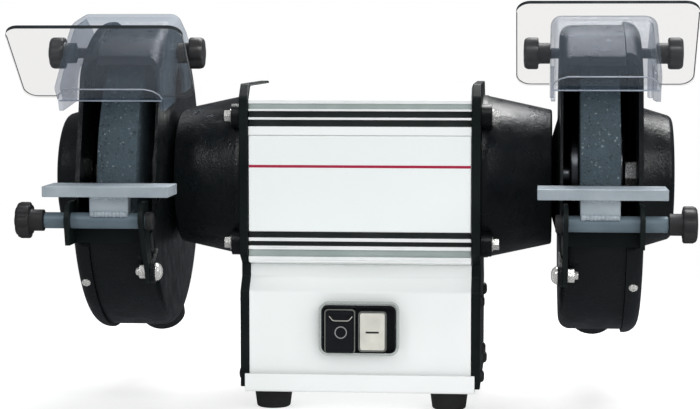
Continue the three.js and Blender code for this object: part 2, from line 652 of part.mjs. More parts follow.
// One side of the hood, with the arched window in its lower edge.
function cheekOutline() {
  const cheek = shapeOf(HOOD_BACK);
  cheek.quadraticCurveTo(12, 125, ...HOOD_ROOF);
  HOOD_FRONT.forEach(([y, z]) => cheek.lineTo(y, z));
  cheek.lineTo(HOOD_WINDOW_Y - HOOD_WINDOW_RADIUS, HOOD_BOTTOM_Z);
  cheek.absarc(HOOD_WINDOW_Y, HOOD_BOTTOM_Z, HOOD_WINDOW_RADIUS, Math.PI, 0, true);
  return cheek;
}

// The space inside the hood, open to the back and to below, which leaves a wall and a front flange.
const HOOD_HOLLOW = [
  [60, 150], [-15, 150], [-15, 123], [-57.3, 122], [-80.4, 109.6], [-113.6, 80.8],
  [-104.9, 72.1], [-107.2, 69.8], [-125, 55], [-125, 30], [60, 30],
];

function sparkHood(side) {
  const [x0, x1] = span(side, HOOD_X - HOOD_HALF_WIDTH, HOOD_X + HOOD_HALF_WIDTH);
  const studHole = rod(STUD_RADIUS + GAP, [x0 - 1, x1 + 1], HOOD_PIVOT_Y, HOOD_PIVOT_Z);
  const hollow = slab(shapeOf(HOOD_HOLLOW), [x0 + HOOD_WALL, x1 - HOOD_WALL]);
  return cutBy(slab(cheekOutline(), [x0, x1], 10), hollow, studHole);
}

function eyeShield() {
  const [w, h, r] = [SHIELD_WIDTH / 2, SHIELD_HEIGHT / 2, SHIELD_CORNER];
  const pane = new THREE.Shape();
  pane.absarc(w - r, h - r, r, 0, Math.PI / 2, false);
  pane.absarc(-w + r, h - r, r, Math.PI / 2, Math.PI, false);
  pane.absarc(-w + r, -h + r, r, Math.PI, Math.PI * 1.5, false);
  pane.absarc(w - r, -h + r, r, Math.PI * 1.5, Math.PI * 2, false);
  return solid(new THREE.ExtrudeGeometry(pane,
    { depth: SHIELD_THICKNESS, bevelEnabled: false, curveSegments: 6 }));
}

// A knob along X: a stud from studEnd to the knob's face, then its neck and its head.
// The direction is 1 where the knob points to +X and -1 where it points to -X.
function knob(direction, face, studEnd, stud, [neckRadius, neck], [headRadius, head], y, z) {
  const part = (radius, from, to, segments) =>
    rod(radius, [Math.min(from, to), Math.max(from, to)], y, z, segments);
  return joined(
    part(stud, studEnd, face + direction, 12),
    part(neckRadius, face, face + direction * (neck + 1), 16),
    part(headRadius, face + direction * neck, face + direction * (neck + head), 20));
}

function buildHood(name, side) {
  const tilt = side < 0 ? THREE.MathUtils.degToRad(LEFT_HOOD_TILT) : 0;
  const pivot = new THREE.Group();
  pivot.position.set(0, HOOD_PIVOT_Y, HOOD_PIVOT_Z);
  pivot.rotation.x = tilt;
  const hood = new THREE.Group();
  hood.position.set(0, -HOOD_PIVOT_Y, -HOOD_PIVOT_Z);
  pivot.add(hood);
  atSpindle.add(pivot);
  addPiece(`${name}_spark_hood`, sparkHood(side), CLEAR_PLASTIC, hood);
  const shield = addPiece(`${name}_eye_shield`, eyeShield(), CLEAR_PLASTIC, hood);
  shield.position.set(side * SHIELD_X, SHIELD_Y, SHIELD_Z);
  shield.rotation.x = THREE.MathUtils.degToRad(SHIELD_LEAN);

  const cheekX = HOOD_X - HOOD_HALF_WIDTH - GAP;
  const outerCheekX = HOOD_X + HOOD_HALF_WIDTH + GAP;
  const shape = [STUD_RADIUS, HOOD_KNOB_NECK, HOOD_KNOB_HEAD, HOOD_PIVOT_Y, HOOD_PIVOT_Z];
  const inner = knob(-side, side * cheekX, side * (CASING_X + 3), ...shape);
  const outer = knob(side, side * outerCheekX, side * (COVER_FACE_X - 3), ...shape);
  addPiece(`${name}_hood_inner_knob`, inner, BLACK_PLASTIC, atSpindle);
  addPiece(`${name}_hood_outer_knob`, outer, BLACK_PLASTIC, atSpindle);
}

// ---------------------------------------------------------------- tool rests

function toolRest(side) {
  const plate = block(span(side, REST_X - REST_WIDTH / 2, REST_X + REST_WIDTH / 2),
    [REST_FRONT_Y, REST_BACK_Y], [-REST_THICKNESS, 0]);
  const web = block(span(side, REST_WEB_X - REST_WEB_WIDTH / 2, REST_WEB_X + REST_WEB_WIDTH / 2),
    [BAR_Y - 6, BAR_Y + 6], [BAR_Z, -REST_THICKNESS + 1]);
  const bar = rod(BAR_RADIUS, span(side, BAR_START_X, BAR_END_X), BAR_Y, BAR_Z, 20);
  const bore = rod(REST_KNOB_STUD + GAP, span(side, BAR_END_X - 12, BAR_END_X + 1), BAR_Y, BAR_Z);
  return cutBy(joined(plate, web, bar), bore);
}

// One ear of the rest bracket. The inner ear has a leg that runs down to the guard's lug.
function earOutline(hasLeg) {
  const ear = new THREE.Shape();
  ear.absarc(BAR_Y, BAR_Z, EAR_RADIUS, Math.PI / 2, Math.PI, false);
  if (hasLeg) {
    ear.lineTo(LUG_Y - LUG_RADIUS, LUG_Z);
    ear.absarc(LUG_Y, LUG_Z, LUG_RADIUS, Math.PI, Math.PI * 2, false);
    ear.lineTo(LUG_Y + LUG_RADIUS, EAR_BOTTOM_Z);
  } else {
    ear.lineTo(BAR_Y - EAR_RADIUS + 6, EAR_BOTTOM_Z);
  }
  ear.lineTo(EAR_BACK_Y, EAR_BOTTOM_Z);
  ear.lineTo(EAR_BACK_Y, BAR_Z + EAR_RADIUS);
  return ear;
}

function restBracket(side) {
  const innerX = span(side, EAR_INNER_X, EAR_INNER_X + EAR_THICKNESS);
  const outerX = span(side, EAR_OUTER_X, EAR_OUTER_X + EAR_THICKNESS);
  const web = block(span(side, EAR_INNER_X, EAR_OUTER_X + EAR_THICKNESS),
    [EAR_BACK_Y - EAR_THICKNESS, EAR_BACK_Y], [EAR_BOTTOM_Z, WEB_TOP_Z]);
  const clearance = rod(CASING_RADIUS + 0.6, span(side, EAR_INNER_X - 5, EAR_OUTER_X - 20), 0, 0, ROUND.large);
  const ears = joined(cutBy(slab(earOutline(true), innerX), clearance), slab(earOutline(false), outerX), web);
  const past = span(side, EAR_INNER_X - 5, EAR_OUTER_X + 10);
  return cutBy(ears,
    rod(BAR_RADIUS + GAP, past, BAR_Y, BAR_Z, 20),
    rod(LUG_BOLT_RADIUS + GAP, past, LUG_Y, LUG_Z));
}

function buildRest(name, side) {
  const knobX = BAR_END_X + GAP;
  const restKnob = knob(side, side * knobX, side * (BAR_END_X - 10), REST_KNOB_STUD, REST_KNOB_NECK,
    REST_KNOB_HEAD, BAR_Y, BAR_Z);
  addPiece(`${name}_rest_bracket`, restBracket(side), BLACK_PAINT, atSpindle);
  addPiece(`${name}_tool_rest`, toolRest(side), STEEL, atSpindle);
  addPiece(`${name}_rest_knob`, restKnob, BLACK_PLASTIC, atSpindle);
}

// ---------------------------------------------------------------- both ends

addPiece('spindle_shaft', spindleShaft(), STEEL, atSpindle);

for (const [name, side] of [['left', -1], ['right', 1]]) {
  addPiece(`${name}_end_plate`, endPlate(side), PLATE_PAINT);
  addPiece(`${name}_bell_housing`, bellHousing(side), BLACK_PAINT, atSpindle);
  addPiece(`${name}_bell_screw_upper`, bellScrew(side, PAD_CENTRES[0]), ZINC, atSpindle);
  addPiece(`${name}_bell_screw_lower`, bellScrew(side, PAD_CENTRES[1]), ZINC, atSpindle);
  buildWheelEnd(name, side);
  addPiece(`${name}_guard_casing`, guardCasing(side), BLACK_PAINT, atSpindle);
  addPiece(`${name}_guard_cover`, guardCover(side), BLACK_PAINT, atSpindle);
  addPiece(`${name}_guard_bolt`, guardBolt(side), ZINC, atSpindle);
  addPiece(`${name}_guard_nut`, guardNut(side), ZINC, atSpindle);
  buildHood(name, side);
  buildRest(name, side);
}

export default machine;
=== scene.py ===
"""Looks of the double-ended bench grinder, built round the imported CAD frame.

Pieces are drawn in millimetres in one of two frames: SPINDLE, whose origin is the middle of the
spindle, and BENCH, which lies straight below it on the bench top. X runs along the spindle, Y to
the back and Z up. A side is 1 for the right end and -1 for the left end.
"""

import math

import bmesh
import bpy
from mathutils import Matrix, Vector, noise


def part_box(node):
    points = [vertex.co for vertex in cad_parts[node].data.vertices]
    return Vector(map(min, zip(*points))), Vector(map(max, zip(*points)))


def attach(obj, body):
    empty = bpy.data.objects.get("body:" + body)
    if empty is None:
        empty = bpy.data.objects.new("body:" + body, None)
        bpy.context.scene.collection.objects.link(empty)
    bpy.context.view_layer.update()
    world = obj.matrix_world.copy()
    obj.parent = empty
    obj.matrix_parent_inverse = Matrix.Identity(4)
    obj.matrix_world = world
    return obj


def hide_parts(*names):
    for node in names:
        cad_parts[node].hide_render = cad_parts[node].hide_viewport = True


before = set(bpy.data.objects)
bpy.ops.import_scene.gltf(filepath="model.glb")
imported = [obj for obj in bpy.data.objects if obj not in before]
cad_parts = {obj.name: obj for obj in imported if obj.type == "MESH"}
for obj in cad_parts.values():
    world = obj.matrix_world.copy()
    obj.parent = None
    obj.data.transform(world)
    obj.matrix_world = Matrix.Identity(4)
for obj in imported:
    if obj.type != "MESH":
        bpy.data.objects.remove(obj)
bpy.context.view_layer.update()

MM = 0.001
SPINDLE = sum(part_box("spindle_shaft"), Vector()) / 2
BENCH = Vector((0, SPINDLE.y, 0))
SPINDLE_HEIGHT = SPINDLE.z / MM
SIDES = {"left": -1, "right": 1}
ROUND_STEPS = 128


def in_mm(box):
    """A box's lowest and highest corners, in millimetres."""
    return [corner / MM for corner in box]


# ------------------------------------------------------------------ camera, light and floor

CAMERA_PLACE = Vector((129.3, -1656.2, 282.4)) * MM + BENCH
CAMERA_PITCH = 0.0777
CAMERA_YAW = 0.0858
CAMERA_LENS = 108

# The floor's radius, and the distances between which it fades out, in metres.
FLOOR_RADIUS = 1.3
FLOOR_FADE = (0.45, 0.95)


def add_camera():
    camera = bpy.data.objects.new("camera", bpy.data.cameras.new("camera"))
    camera.data.lens = CAMERA_LENS
    camera.data.sensor_width = 36
    camera.data.clip_end = 50
    camera.location = CAMERA_PLACE
    camera.rotation_euler = (math.pi / 2 - CAMERA_PITCH, 0, CAMERA_YAW)
    bpy.context.collection.objects.link(camera)
    bpy.context.scene.camera = camera


def add_softbox(name, place, size, power, glossy=True):
    light = bpy.data.lights.new(name, "AREA")
    light.shape = "RECTANGLE"
    light.size, light.size_y = size
    light.energy = power
    box = bpy.data.objects.new(name, light)
    box.location = place
    aim = Vector((0, 0, 0.16)) - Vector(place)
    box.rotation_euler = aim.to_track_quat("-Z", "Y").to_euler()
    box.visible_glossy = glossy
    box.visible_camera = False
    bpy.context.collection.objects.link(box)


def add_world():
    """White where the camera looks, straight or through clear plastic, and dimmer as a light."""
    world = bpy.data.worlds.new("studio")
    bpy.context.scene.world = world
    world.use_nodes = True
    nodes, links = world.node_tree.nodes, world.node_tree.links
    background = nodes["Background"]
    rays = nodes.new("ShaderNodeLightPath")
    color = (1.0, 1.0, 1.0, 1)
    dimmed = (("Is Diffuse Ray", (0.34, 0.35, 0.36, 1)), ("Is Glossy Ray", (0.10, 0.105, 0.115, 1)))
    for ray, light in dimmed:
        mix = nodes.new("ShaderNodeMix")
        mix.data_type = "RGBA"
        if isinstance(color, tuple):
            mix.inputs["A"].default_value = color
        else:
            links.new(color, mix.inputs["A"])
        mix.inputs["B"].default_value = light
        links.new(rays.outputs[ray], mix.inputs["Factor"])
        color = mix.outputs["Result"]
    links.new(color, background.inputs["Color"])


def add_floor():
    """A pale sheet that fades into the white surroundings away from the machine."""
    bm = bmesh.new()
    bmesh.ops.create_circle(bm, cap_ends=True, segments=96, radius=FLOOR_RADIUS)
    floor = new_object("floor", bm, Vector(), scale=1)
    paper = Surface("floor_paper", (0.45, 0.45, 0.45), 0.9)
    paper.set("Emission Color", (1, 1, 1, 1))
    paper.set("Emission Strength", 0.62)
    paper.bump(paper.noise(40, 2), 0.02, 0.001)
    length = paper.nodes.new("ShaderNodeVectorMath")
    length.operation = "LENGTH"
    paper.links.new(paper.place, length.inputs[0])
    through = paper.nodes.new("ShaderNodeBsdfTransparent")
    fade = paper.map(length.outputs["Value"], 0, 1, *FLOOR_FADE)
    paper.blend(fade, paper.shader, through)
    floor.data.materials.append(paper.material)
    floor.visible_glossy = False


# ------------------------------------------------------------------ mesh tools


def new_object(name, bm, origin=SPINDLE, scale=MM):
    """The bmesh as an object, moved from its millimetre frame into the row frame."""
    bmesh.ops.recalc_face_normals(bm, faces=bm.faces)
    bm.transform(Matrix.Translation(origin) @ Matrix.Scale(scale, 4))
    mesh = bpy.data.meshes.new(name)
    bm.to_mesh(mesh)
    bm.free()
    piece = bpy.data.objects.new(name, mesh)
    bpy.context.collection.objects.link(piece)
    return piece


def full_turn(steps):
    return [2 * math.pi * step / steps for step in range(steps)]


def skin(bm, loops):
    """Faces between each loop of vertices and the next."""
    for first, second in zip(loops, loops[1:]):
        for i in range(len(first)):
            j = (i + 1) % len(first)
            bm.faces.new([first[i], first[j], second[j], second[i]])


def close_ends(bm, loops):
    bm.faces.new(loops[0][::-1])
    bm.faces.new(loops[-1])


def revolve(profile, side=1, steps=ROUND_STEPS, turned=None):
    """A profile of (radius, x) points turned about X. It closes on itself or ends on the axis."""
    bm = bmesh.new()
    angles = full_turn(steps)
    rings = []
    for radius, x in profile:
        spots = angles if radius > 1e-6 else angles[:1]
        ring = [(side * x, radius * math.cos(a), radius * math.sin(a)) for a in spots]
        rings.append([bm.verts.new(spot) for spot in ring])
    for first, second in zip(rings, rings[1:] + rings[:1]):
        if len(first) + len(second) == 2:
            continue
        for step in range(steps):
            pair = (step, (step + 1) % steps)
            loop = [first[pair[0] % len(first)], first[pair[1] % len(first)]]
            loop += [second[pair[1] % len(second)], second[pair[0] % len(second)]]
            bm.faces.new(list(dict.fromkeys(loop)))
    if turned is not None:
        bm.transform(turned)
    return bm


def prism(outline, low, high, axis="X"):
    """A closed outline pushed along an axis. Its points are the other two axes, in X, Y, Z order."""
    bm = bmesh.new()
    spots = {
        "X": lambda a, b, h: (h, a, b),
        "Y": lambda a, b, h: (a, h, b),
        "Z": lambda a, b, h: (a, b, h),
    }[axis]
    ends = [[bm.verts.new(spots(a, b, h)) for a, b in outline] for h in (low, high)]
    skin(bm, ends)
    close_ends(bm, ends)
    return bm


def block(x, y, z):
    return prism([(y[0], z[0]), (y[1], z[0]), (y[1], z[1]), (y[0], z[1])], x[0], x[1])


def circle(centre, radius, steps=48):
    return [(centre[0] + radius * math.cos(a), centre[1] + radius * math.sin(a)) for a in full_turn(steps)]


def fillet(points, radii, steps=6):
    """The closed outline with each corner rounded by its own radius."""
    rounded = []
    for i, radius in enumerate(radii):
        corner = Vector(points[i])
        if radius <= 0:
            rounded.append(tuple(corner))
            continue
        back = (Vector(points[i - 1]) - corner).normalized()
        ahead = (Vector(points[(i + 1) % len(points)]) - corner).normalized()
        half = back.angle(ahead) / 2
        centre = corner + (back + ahead).normalized() * radius / math.sin(half)
        reach = radius / math.tan(half)
        start = corner + back * reach - centre
        end = corner + ahead * reach - centre
        sweep = start.angle_signed(end)
        for step in range(steps + 1):
            arm = start.copy()
            arm.rotate(Matrix.Rotation(-sweep * step / steps, 2))
            rounded.append(tuple(centre + arm))
    return rounded


def arc(centre_r, centre_x, radius, start, end, steps=8):
    """Profile points on a circle, from one angle to another in degrees."""
    turn = [math.radians(start + (end - start) * step / steps) for step in range(steps + 1)]
    return [(centre_r + radius * math.cos(a), centre_x + radius * math.sin(a)) for a in turn]


def span(side, a, b):
    return (a, b) if side > 0 else (-b, -a)


def bead(path, radius, around=8):
    """A thin round bead that follows a path of (X, Y, Z) points."""
    bm = bmesh.new()
    points = [Vector(point) for point in path]
    loops = []
    for i, point in enumerate(points):
        along = (points[min(i + 1, len(points) - 1)] - points[max(i - 1, 0)]).normalized()
        up = along.cross(Vector((0, 0, 1))).normalized()
        out = along.cross(up)
        ring = [up * math.cos(a) + out * math.sin(a) for a in full_turn(around)]
        loops.append([bm.verts.new(point + radius * arm) for arm in ring])
    skin(bm, loops)
    close_ends(bm, loops)
    bmesh.ops.recalc_face_normals(bm, faces=bm.faces)
    return bm


def combine(piece, operation, *tools):
    """Joins tools to a piece, or cuts them from it, and keeps the result as its mesh."""
    for tool in tools:
        boolean = piece.modifiers.new("combine", "BOOLEAN")
        boolean.object = tool
        boolean.operation = operation
        boolean.solver = "EXACT"
    graph = bpy.context.evaluated_depsgraph_get()
    result = bpy.data.meshes.new_from_object(piece.evaluated_get(graph))
    piece.modifiers.clear()
    piece.data = result
    for tool in tools:
        bpy.data.objects.remove(tool)
    return piece


def cut(piece, *bms, origin=SPINDLE):
    return combine(piece, "DIFFERENCE", *[new_object("cutter", bm, origin) for bm in bms])


def join(piece, *bms, origin=SPINDLE):
    return combine(piece, "UNION", *[new_object("joined", bm, origin) for bm in bms])


def show(piece, body, materials, replaces=(), bevel=0.0, segments=2, smooth=35):
    """Gives a piece its materials and edges, and hands it to the frame."""
    for material in materials if isinstance(materials, (list, tuple)) else [materials]:
        piece.data.materials.append(material)
    for polygon in piece.data.polygons:
        polygon.use_smooth = True
    if bevel:
        edge = piece.modifiers.new("edges", "BEVEL")
        edge.width = bevel * MM
        edge.segments = segments
        edge.limit_method = "ANGLE"
        edge.angle_limit = math.radians(smooth)
        edge.harden_normals = True
    else:
        piece.data.set_sharp_from_angle(angle=math.radians(smooth))
    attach(piece, body)
    if replaces:
        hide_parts(*replaces)
    return piece


# ------------------------------------------------------------------ materials


class Surface:
    """A Principled material whose detail comes from textures in the piece's own coordinates."""

    def __init__(self, name, color, roughness, metallic=0.0):
        self.material = bpy.data.materials.new(name)
        self.material.use_nodes = True
        self.nodes = self.material.node_tree.nodes
        self.links = self.material.node_tree.links
        self.shader = self.nodes["Principled BSDF"]
        self.place = self.nodes.new("ShaderNodeTexCoord").outputs["Object"]
        self.last_bump = None
        self.set("Base Color", (*color, 1))
        self.set("Roughness", roughness)
        self.set("Metallic", metallic)

    def set(self, socket, value):
        self.shader.inputs[socket].default_value = value

    def stretched(self, stretch):
        mapping = self.nodes.new("ShaderNodeMapping")
        mapping.inputs["Scale"].default_value = stretch
        self.links.new(self.place, mapping.inputs["Vector"])
        return mapping.outputs["Vector"]

    def noise(self, scale, detail=3.0, stretch=(1, 1, 1), distortion=0.0):
        texture = self.nodes.new("ShaderNodeTexNoise")
        texture.inputs["Scale"].default_value = scale
        texture.inputs["Detail"].default_value = detail
        texture.inputs["Distortion"].default_value = distortion
        self.links.new(self.stretched(stretch), texture.inputs["Vector"])
        return texture.outputs["Fac"]

    def cells(self, scale, output="Color"):
        texture = self.nodes.new("ShaderNodeTexVoronoi")
        texture.inputs["Scale"].default_value = scale
        self.links.new(self.place, texture.inputs["Vector"])
        return texture.outputs[output]

    def ramp(self, value, stops):
        """Stops are (position, colour) pairs."""
        ramp = self.nodes.new("ShaderNodeValToRGB")
        elements = ramp.color_ramp.elements
        while len(elements) < len(stops):
            elements.new(0.5)
        for element, (position, color) in zip(elements, stops):
            element.position = position
            element.color = (*color, 1)
        self.links.new(value, ramp.inputs["Fac"])
        return ramp.outputs["Color"]

    def map(self, value, low, high, start=0.3, end=0.7):
        node = self.nodes.new("ShaderNodeMapRange")
        node.inputs["From Min"].default_value = start
        node.inputs["From Max"].default_value = end
        node.inputs["To Min"].default_value = low
        node.inputs["To Max"].default_value = high
        self.links.new(value, node.inputs["Value"])
        return node.outputs["Result"]

    def mix(self, factor, first, second):
        node = self.nodes.new("ShaderNodeMix")
        node.data_type = "RGBA"
        for socket, value in (("Factor", factor), ("A", first), ("B", second)):
            if isinstance(value, bpy.types.NodeSocket):
                self.links.new(value, node.inputs[socket])
            elif socket == "Factor":
                node.inputs[socket].default_value = value
            else:
                node.inputs[socket].default_value = (*value, 1)
        return node.outputs["Result"]

    def drive(self, socket, value):
        self.links.new(value, self.shader.inputs[socket])

    def blend(self, factor, first, second):
        """Makes the surface a mix of two shaders, in place of the plain Principled one."""
        node = self.nodes.new("ShaderNodeMixShader")
        self.links.new(factor, node.inputs["Fac"])
        self.links.new(first.outputs[0], node.inputs[1])
        self.links.new(second.outputs[0], node.inputs[2])
        self.links.new(node.outputs[0], self.nodes["Material Output"].inputs["Surface"])

    def bump(self, height, strength, distance):
        node = self.nodes.new("ShaderNodeBump")
        node.inputs["Strength"].default_value = strength
        node.inputs["Distance"].default_value = distance
        self.links.new(height, node.inputs["Height"])
        if self.last_bump is not None:
            self.links.new(self.last_bump, node.inputs["Normal"])
        self.last_bump = node.outputs["Normal"]
        self.links.new(self.last_bump, self.shader.inputs["Normal"])


def cast_paint():
    """Glossy black paint that follows the lumps of a sand casting."""
    paint = Surface("cast_black_paint", (0.008, 0.010, 0.011), 0.3)
    tone = paint.noise(18, 3)
    tones = [(0.3, (0.003, 0.0045, 0.0055)), (0.75, (0.007, 0.009, 0.010))]
    paint.drive("Base Color", paint.ramp(tone, tones))
    paint.drive("Roughness", paint.map(paint.noise(90, 4), 0.24, 0.42))
    paint.bump(paint.noise(150, 3, distortion=0.4), 0.35, 0.0010)
    paint.bump(paint.noise(620, 3), 0.45, 0.0005)
    return paint.material


def plate_paint():
    paint = Surface("plate_black_paint", (0.006, 0.009, 0.009), 0.42)
    tone = paint.noise(25, 3)
    paint.drive("Base Color", paint.ramp(tone, [(0.3, (0.004, 0.007, 0.007)), (0.8, (0.010, 0.014, 0.014))]))
    paint.set("Specular IOR Level", 0.22)
    paint.drive("Roughness", paint.map(paint.noise(160, 3), 0.36, 0.5))
    paint.bump(paint.noise(700, 3), 0.12, 0.0002)
    return paint.material


def white_coat():
    """Powder coat: a fine orange peel with very slight clouding."""
    coat = Surface("white_powder_coat", (0.80, 0.82, 0.81), 0.38)
    tones = [(0.3, (0.77, 0.80, 0.79)), (0.7, (0.83, 0.845, 0.84))]
    coat.drive("Base Color", coat.ramp(coat.noise(9, 3), tones))
    coat.drive("Roughness", coat.map(coat.noise(60, 3), 0.33, 0.45))
    coat.bump(coat.noise(420, 2), 0.10, 0.0003)
    return coat.material


def label_enamel(line_height, line_width):
    """Smooth white enamel with one plain red line at a height above the bench."""
    enamel = Surface("label_enamel", (0.80, 0.83, 0.83), 0.3)
    separate = enamel.nodes.new("ShaderNodeSeparateXYZ")
    enamel.links.new(enamel.place, separate.inputs[0])
    compare = enamel.nodes.new("ShaderNodeMath")
    compare.operation = "COMPARE"
    compare.inputs[1].default_value = line_height
    compare.inputs[2].default_value = line_width / 2
    enamel.links.new(separate.outputs["Z"], compare.inputs[0])
    white = enamel.ramp(enamel.noise(7, 2), [(0.3, (0.77, 0.81, 0.80)), (0.7, (0.81, 0.84, 0.835))])
    enamel.drive("Base Color", enamel.mix(compare.outputs[0], white, (0.36, 0.012, 0.05)))
    enamel.bump(enamel.noise(300, 2), 0.03, 0.0002)
    return enamel.material


def drawn_metal(name, dark, light, roughness, along="X", metallic=1.0):
    """Bare metal with fine drawing lines along one axis."""
    metal = Surface(name, light, roughness, metallic)
    stretch = {"X": (0.03, 1, 1), "Y": (1, 0.03, 1), "Z": (1, 1, 0.03), "none": (1, 1, 1)}[along]
    lines = metal.noise(900, 3, stretch)
    clouds = metal.noise(35, 4)
    metal.drive("Base Color", metal.ramp(clouds, [(0.3, dark), (0.7, light)]))
    metal.drive("Roughness", metal.map(lines, roughness - 0.07, roughness + 0.1))
    metal.bump(lines, 0.08, 0.0002)
    return metal.material


# Near-black colour for the housing's recessed grooves: painted shade, standing in for the shadow inside them.
def painted_groove_shade():
    paint = Surface("groove_shadow_paint", (0.02, 0.025, 0.025), 0.5)
    tones = [(0.3, (0.016, 0.022, 0.021)), (0.7, (0.03, 0.036, 0.035))]
    paint.drive("Base Color", paint.ramp(paint.noise(50, 3), tones))
    paint.bump(paint.noise(600, 2), 0.08, 0.0002)
    return paint.material


def grit():
    """Vitrified abrasive: blue-grey grains with light and dark ones among them."""
    stone = Surface("abrasive_grit", (0.05, 0.065, 0.075), 0.9)
    grain = stone.ramp(
        stone.cells(720),
        [(0.0, (0.006, 0.008, 0.009)), (0.13, (0.014, 0.019, 0.022)), (0.2, (0.046, 0.066, 0.080)),
         (0.86, (0.066, 0.096, 0.114)), (0.92, (0.28, 0.33, 0.35))],
    )
    clouds = stone.ramp(stone.noise(60, 5), [(0.3, (0.043, 0.061, 0.073)), (0.7, (0.074, 0.104, 0.124))])
    stone.drive("Base Color", stone.mix(0.5, clouds, grain))
    stone.bump(stone.cells(720, "Distance"), 0.6, 0.0009)
    stone.bump(stone.noise(1500, 3), 0.5, 0.0005)
    return stone.material


def moulded(name, color, roughness, grain=700, depth=0.12):
    """Moulded plastic or rubber with a fine grain."""
    plastic = Surface(name, color, roughness)
    darker = tuple(0.82 * c for c in color)
    lighter = tuple(min(1, 1.15 * c) for c in color)
    plastic.drive("Base Color", plastic.ramp(plastic.noise(40, 3), [(0.3, darker), (0.7, lighter)]))
    plastic.drive("Roughness", plastic.map(plastic.noise(120, 3), roughness - 0.06, roughness + 0.08))
    plastic.bump(plastic.noise(grain, 2), depth, 0.0003)
    return plastic.material


def clear_plastic(name, tint, gloss_tone, film, rim):
    """Thin clear plastic: tinted light comes through, and a film shows more at a glancing angle."""
    clear = Surface(name, gloss_tone, 0.06, 0.0)
    clear.set("IOR", 1.55)
    clear.bump(clear.noise(14, 2), 0.05, 0.002)
    through = clear.nodes.new("ShaderNodeBsdfTransparent")
    through.inputs["Color"].default_value = (*tint, 1)
    edge = clear.nodes.new("ShaderNodeLayerWeight")
    edge.inputs["Blend"].default_value = 0.5
    grazing = clear.nodes.new("ShaderNodeMath")
    grazing.operation = "POWER"
    grazing.inputs[1].default_value = 4
    clear.links.new(edge.outputs["Facing"], grazing.inputs[0])
    shine = clear.map(grazing.outputs[0], film, rim, 0, 1)
    clear.blend(shine, through, clear.shader)
    return clear.material


CAST = cast_paint()
PLATE = plate_paint()
WHITE = white_coat()
LABEL = label_enamel(line_height=0.1873, line_width=0.0021)
RIDGE = drawn_metal("bare_aluminium", (0.80, 0.82, 0.82), (0.93, 0.94, 0.94), 0.3, metallic=0.15)
BAND = drawn_metal("grey_band", (0.33, 0.39, 0.375), (0.42, 0.48, 0.465), 0.45, metallic=0.1)
GROOVE_SHADE = painted_groove_shade()
STEEL = drawn_metal("turned_steel", (0.38, 0.40, 0.42), (0.52, 0.54, 0.56), 0.34, "none")
REST_STEEL = drawn_metal("zinc_grey_steel", (0.32, 0.37, 0.41), (0.47, 0.53, 0.57), 0.42, metallic=0.35)
BAR_STEEL = drawn_metal("dark_bar_steel", (0.11, 0.15, 0.18), (0.17, 0.225, 0.265), 0.42, metallic=0.35)
ZINC = drawn_metal("bright_zinc", (0.72, 0.72, 0.69), (0.88, 0.87, 0.84), 0.24, "none", 0.55)
GRIT = grit()
RUBBER = moulded("black_rubber", (0.012, 0.012, 0.012), 0.75, 500, 0.2)
KNOB = moulded("black_plastic", (0.020, 0.020, 0.021), 0.5)
GLOSS = moulded("glossy_black_plastic", (0.008, 0.009, 0.011), 0.2, 300, 0.04)
CREAM = moulded("cream_plastic", (0.62, 0.61, 0.55), 0.35, 300, 0.04)
GREY = moulded("grey_plastic", (0.10, 0.11, 0.12), 0.5)
COPPER = drawn_metal("copper_winding", (0.40, 0.16, 0.07), (0.62, 0.28, 0.13), 0.35, "Y")
CORE = drawn_metal("core_sheets", (0.18, 0.19, 0.20), (0.30, 0.31, 0.32), 0.5, "Z")
MARK = moulded("grey_mark", (0.28, 0.28, 0.29), 0.4)
CLEAR = clear_plastic("clear_hood", (0.80, 0.81, 0.835), (0.24, 0.33, 0.42), 0.06, 0.4)
# Painted highlight for the hoods' fold and lip beads.
GLINT = moulded("painted_hood_edge_highlight", (0.34, 0.38, 0.44), 0.12, 300, 0.03)
PANE = clear_plastic("clear_pane", (0.95, 0.945, 0.94), (0.40, 0.42, 0.45), 0.03, 0.5)
RIM = clear_plastic("clear_rim", (0.86, 0.88, 0.87), (0.80, 0.83, 0.81), 0.22, 0.6)
SMOKED = moulded("smoked_collar", (0.15, 0.16, 0.15), 0.15, 300, 0.03)
# Painted shade for the clear shields' edges.
EDGE_SHADE = moulded("painted_clear_edge_shade", (0.022, 0.027, 0.030), 0.15, 200, 0.03)


# ------------------------------------------------------------------ motor body

HALF_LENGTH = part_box("motor_housing")[1].x / MM
BODY_BOTTOM, BODY_TOP = (corner.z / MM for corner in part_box("motor_housing"))
CHAMFER_Y = 58

# The bands of the housing's front and back, from the bottom up: top height, depth, material.
BANDS = [
    (115.6, 69, 0), (118.4, 70, 1), (123.6, 67.5, 3), (126.6, 70, 1), (130.0, 66, 2),
    (132.8, 70, 1), (137.3, 66, 2), (211.0, 69.2, 0), (217.7, 70, 0), (222.7, 66, 2),
    (224.6, 70, 1), (229.3, 66, 2), (231.0, 70, 1), (235.0, 68.2, 3), (237.7, 70, 1),
]


def housing():
    half = [(60, BODY_BOTTOM)]
    bands = [0]
    low = BODY_BOTTOM + 2
    for high, depth, material in BANDS:
        half += [(depth, low), (depth, high)]
        bands += [material, material]
        low = high
    half.append((CHAMFER_Y, BODY_TOP))
    bands.append(0)
    outline = half + [(-y, z) for y, z in reversed(half)]
    bm = prism(outline, -HALF_LENGTH, HALF_LENGTH)
    bm.faces.ensure_lookup_table()
    for i, material in enumerate(bands[1:]):
        for face in (i, len(outline) - 2 - i):
            bm.faces[face].material_index = material
    shell = new_object("housing_extrusion", bm, BENCH)
    # The groove material paints the recessed bands with near-black shade.
    for material in (WHITE, RIDGE, GROOVE_SHADE, BAND):
        shell.data.materials.append(material)
    bore = 2 * (SPINDLE_HEIGHT - BODY_BOTTOM) - 12
    cut(shell, revolve([(0, -HALF_LENGTH - 5), (bore / 2, -HALF_LENGTH - 5), (bore / 2, HALF_LENGTH + 5),
                        (0, HALF_LENGTH + 5)]))
    show(shell, "machine", [], ["motor_housing"], 0.45, 2, 30)


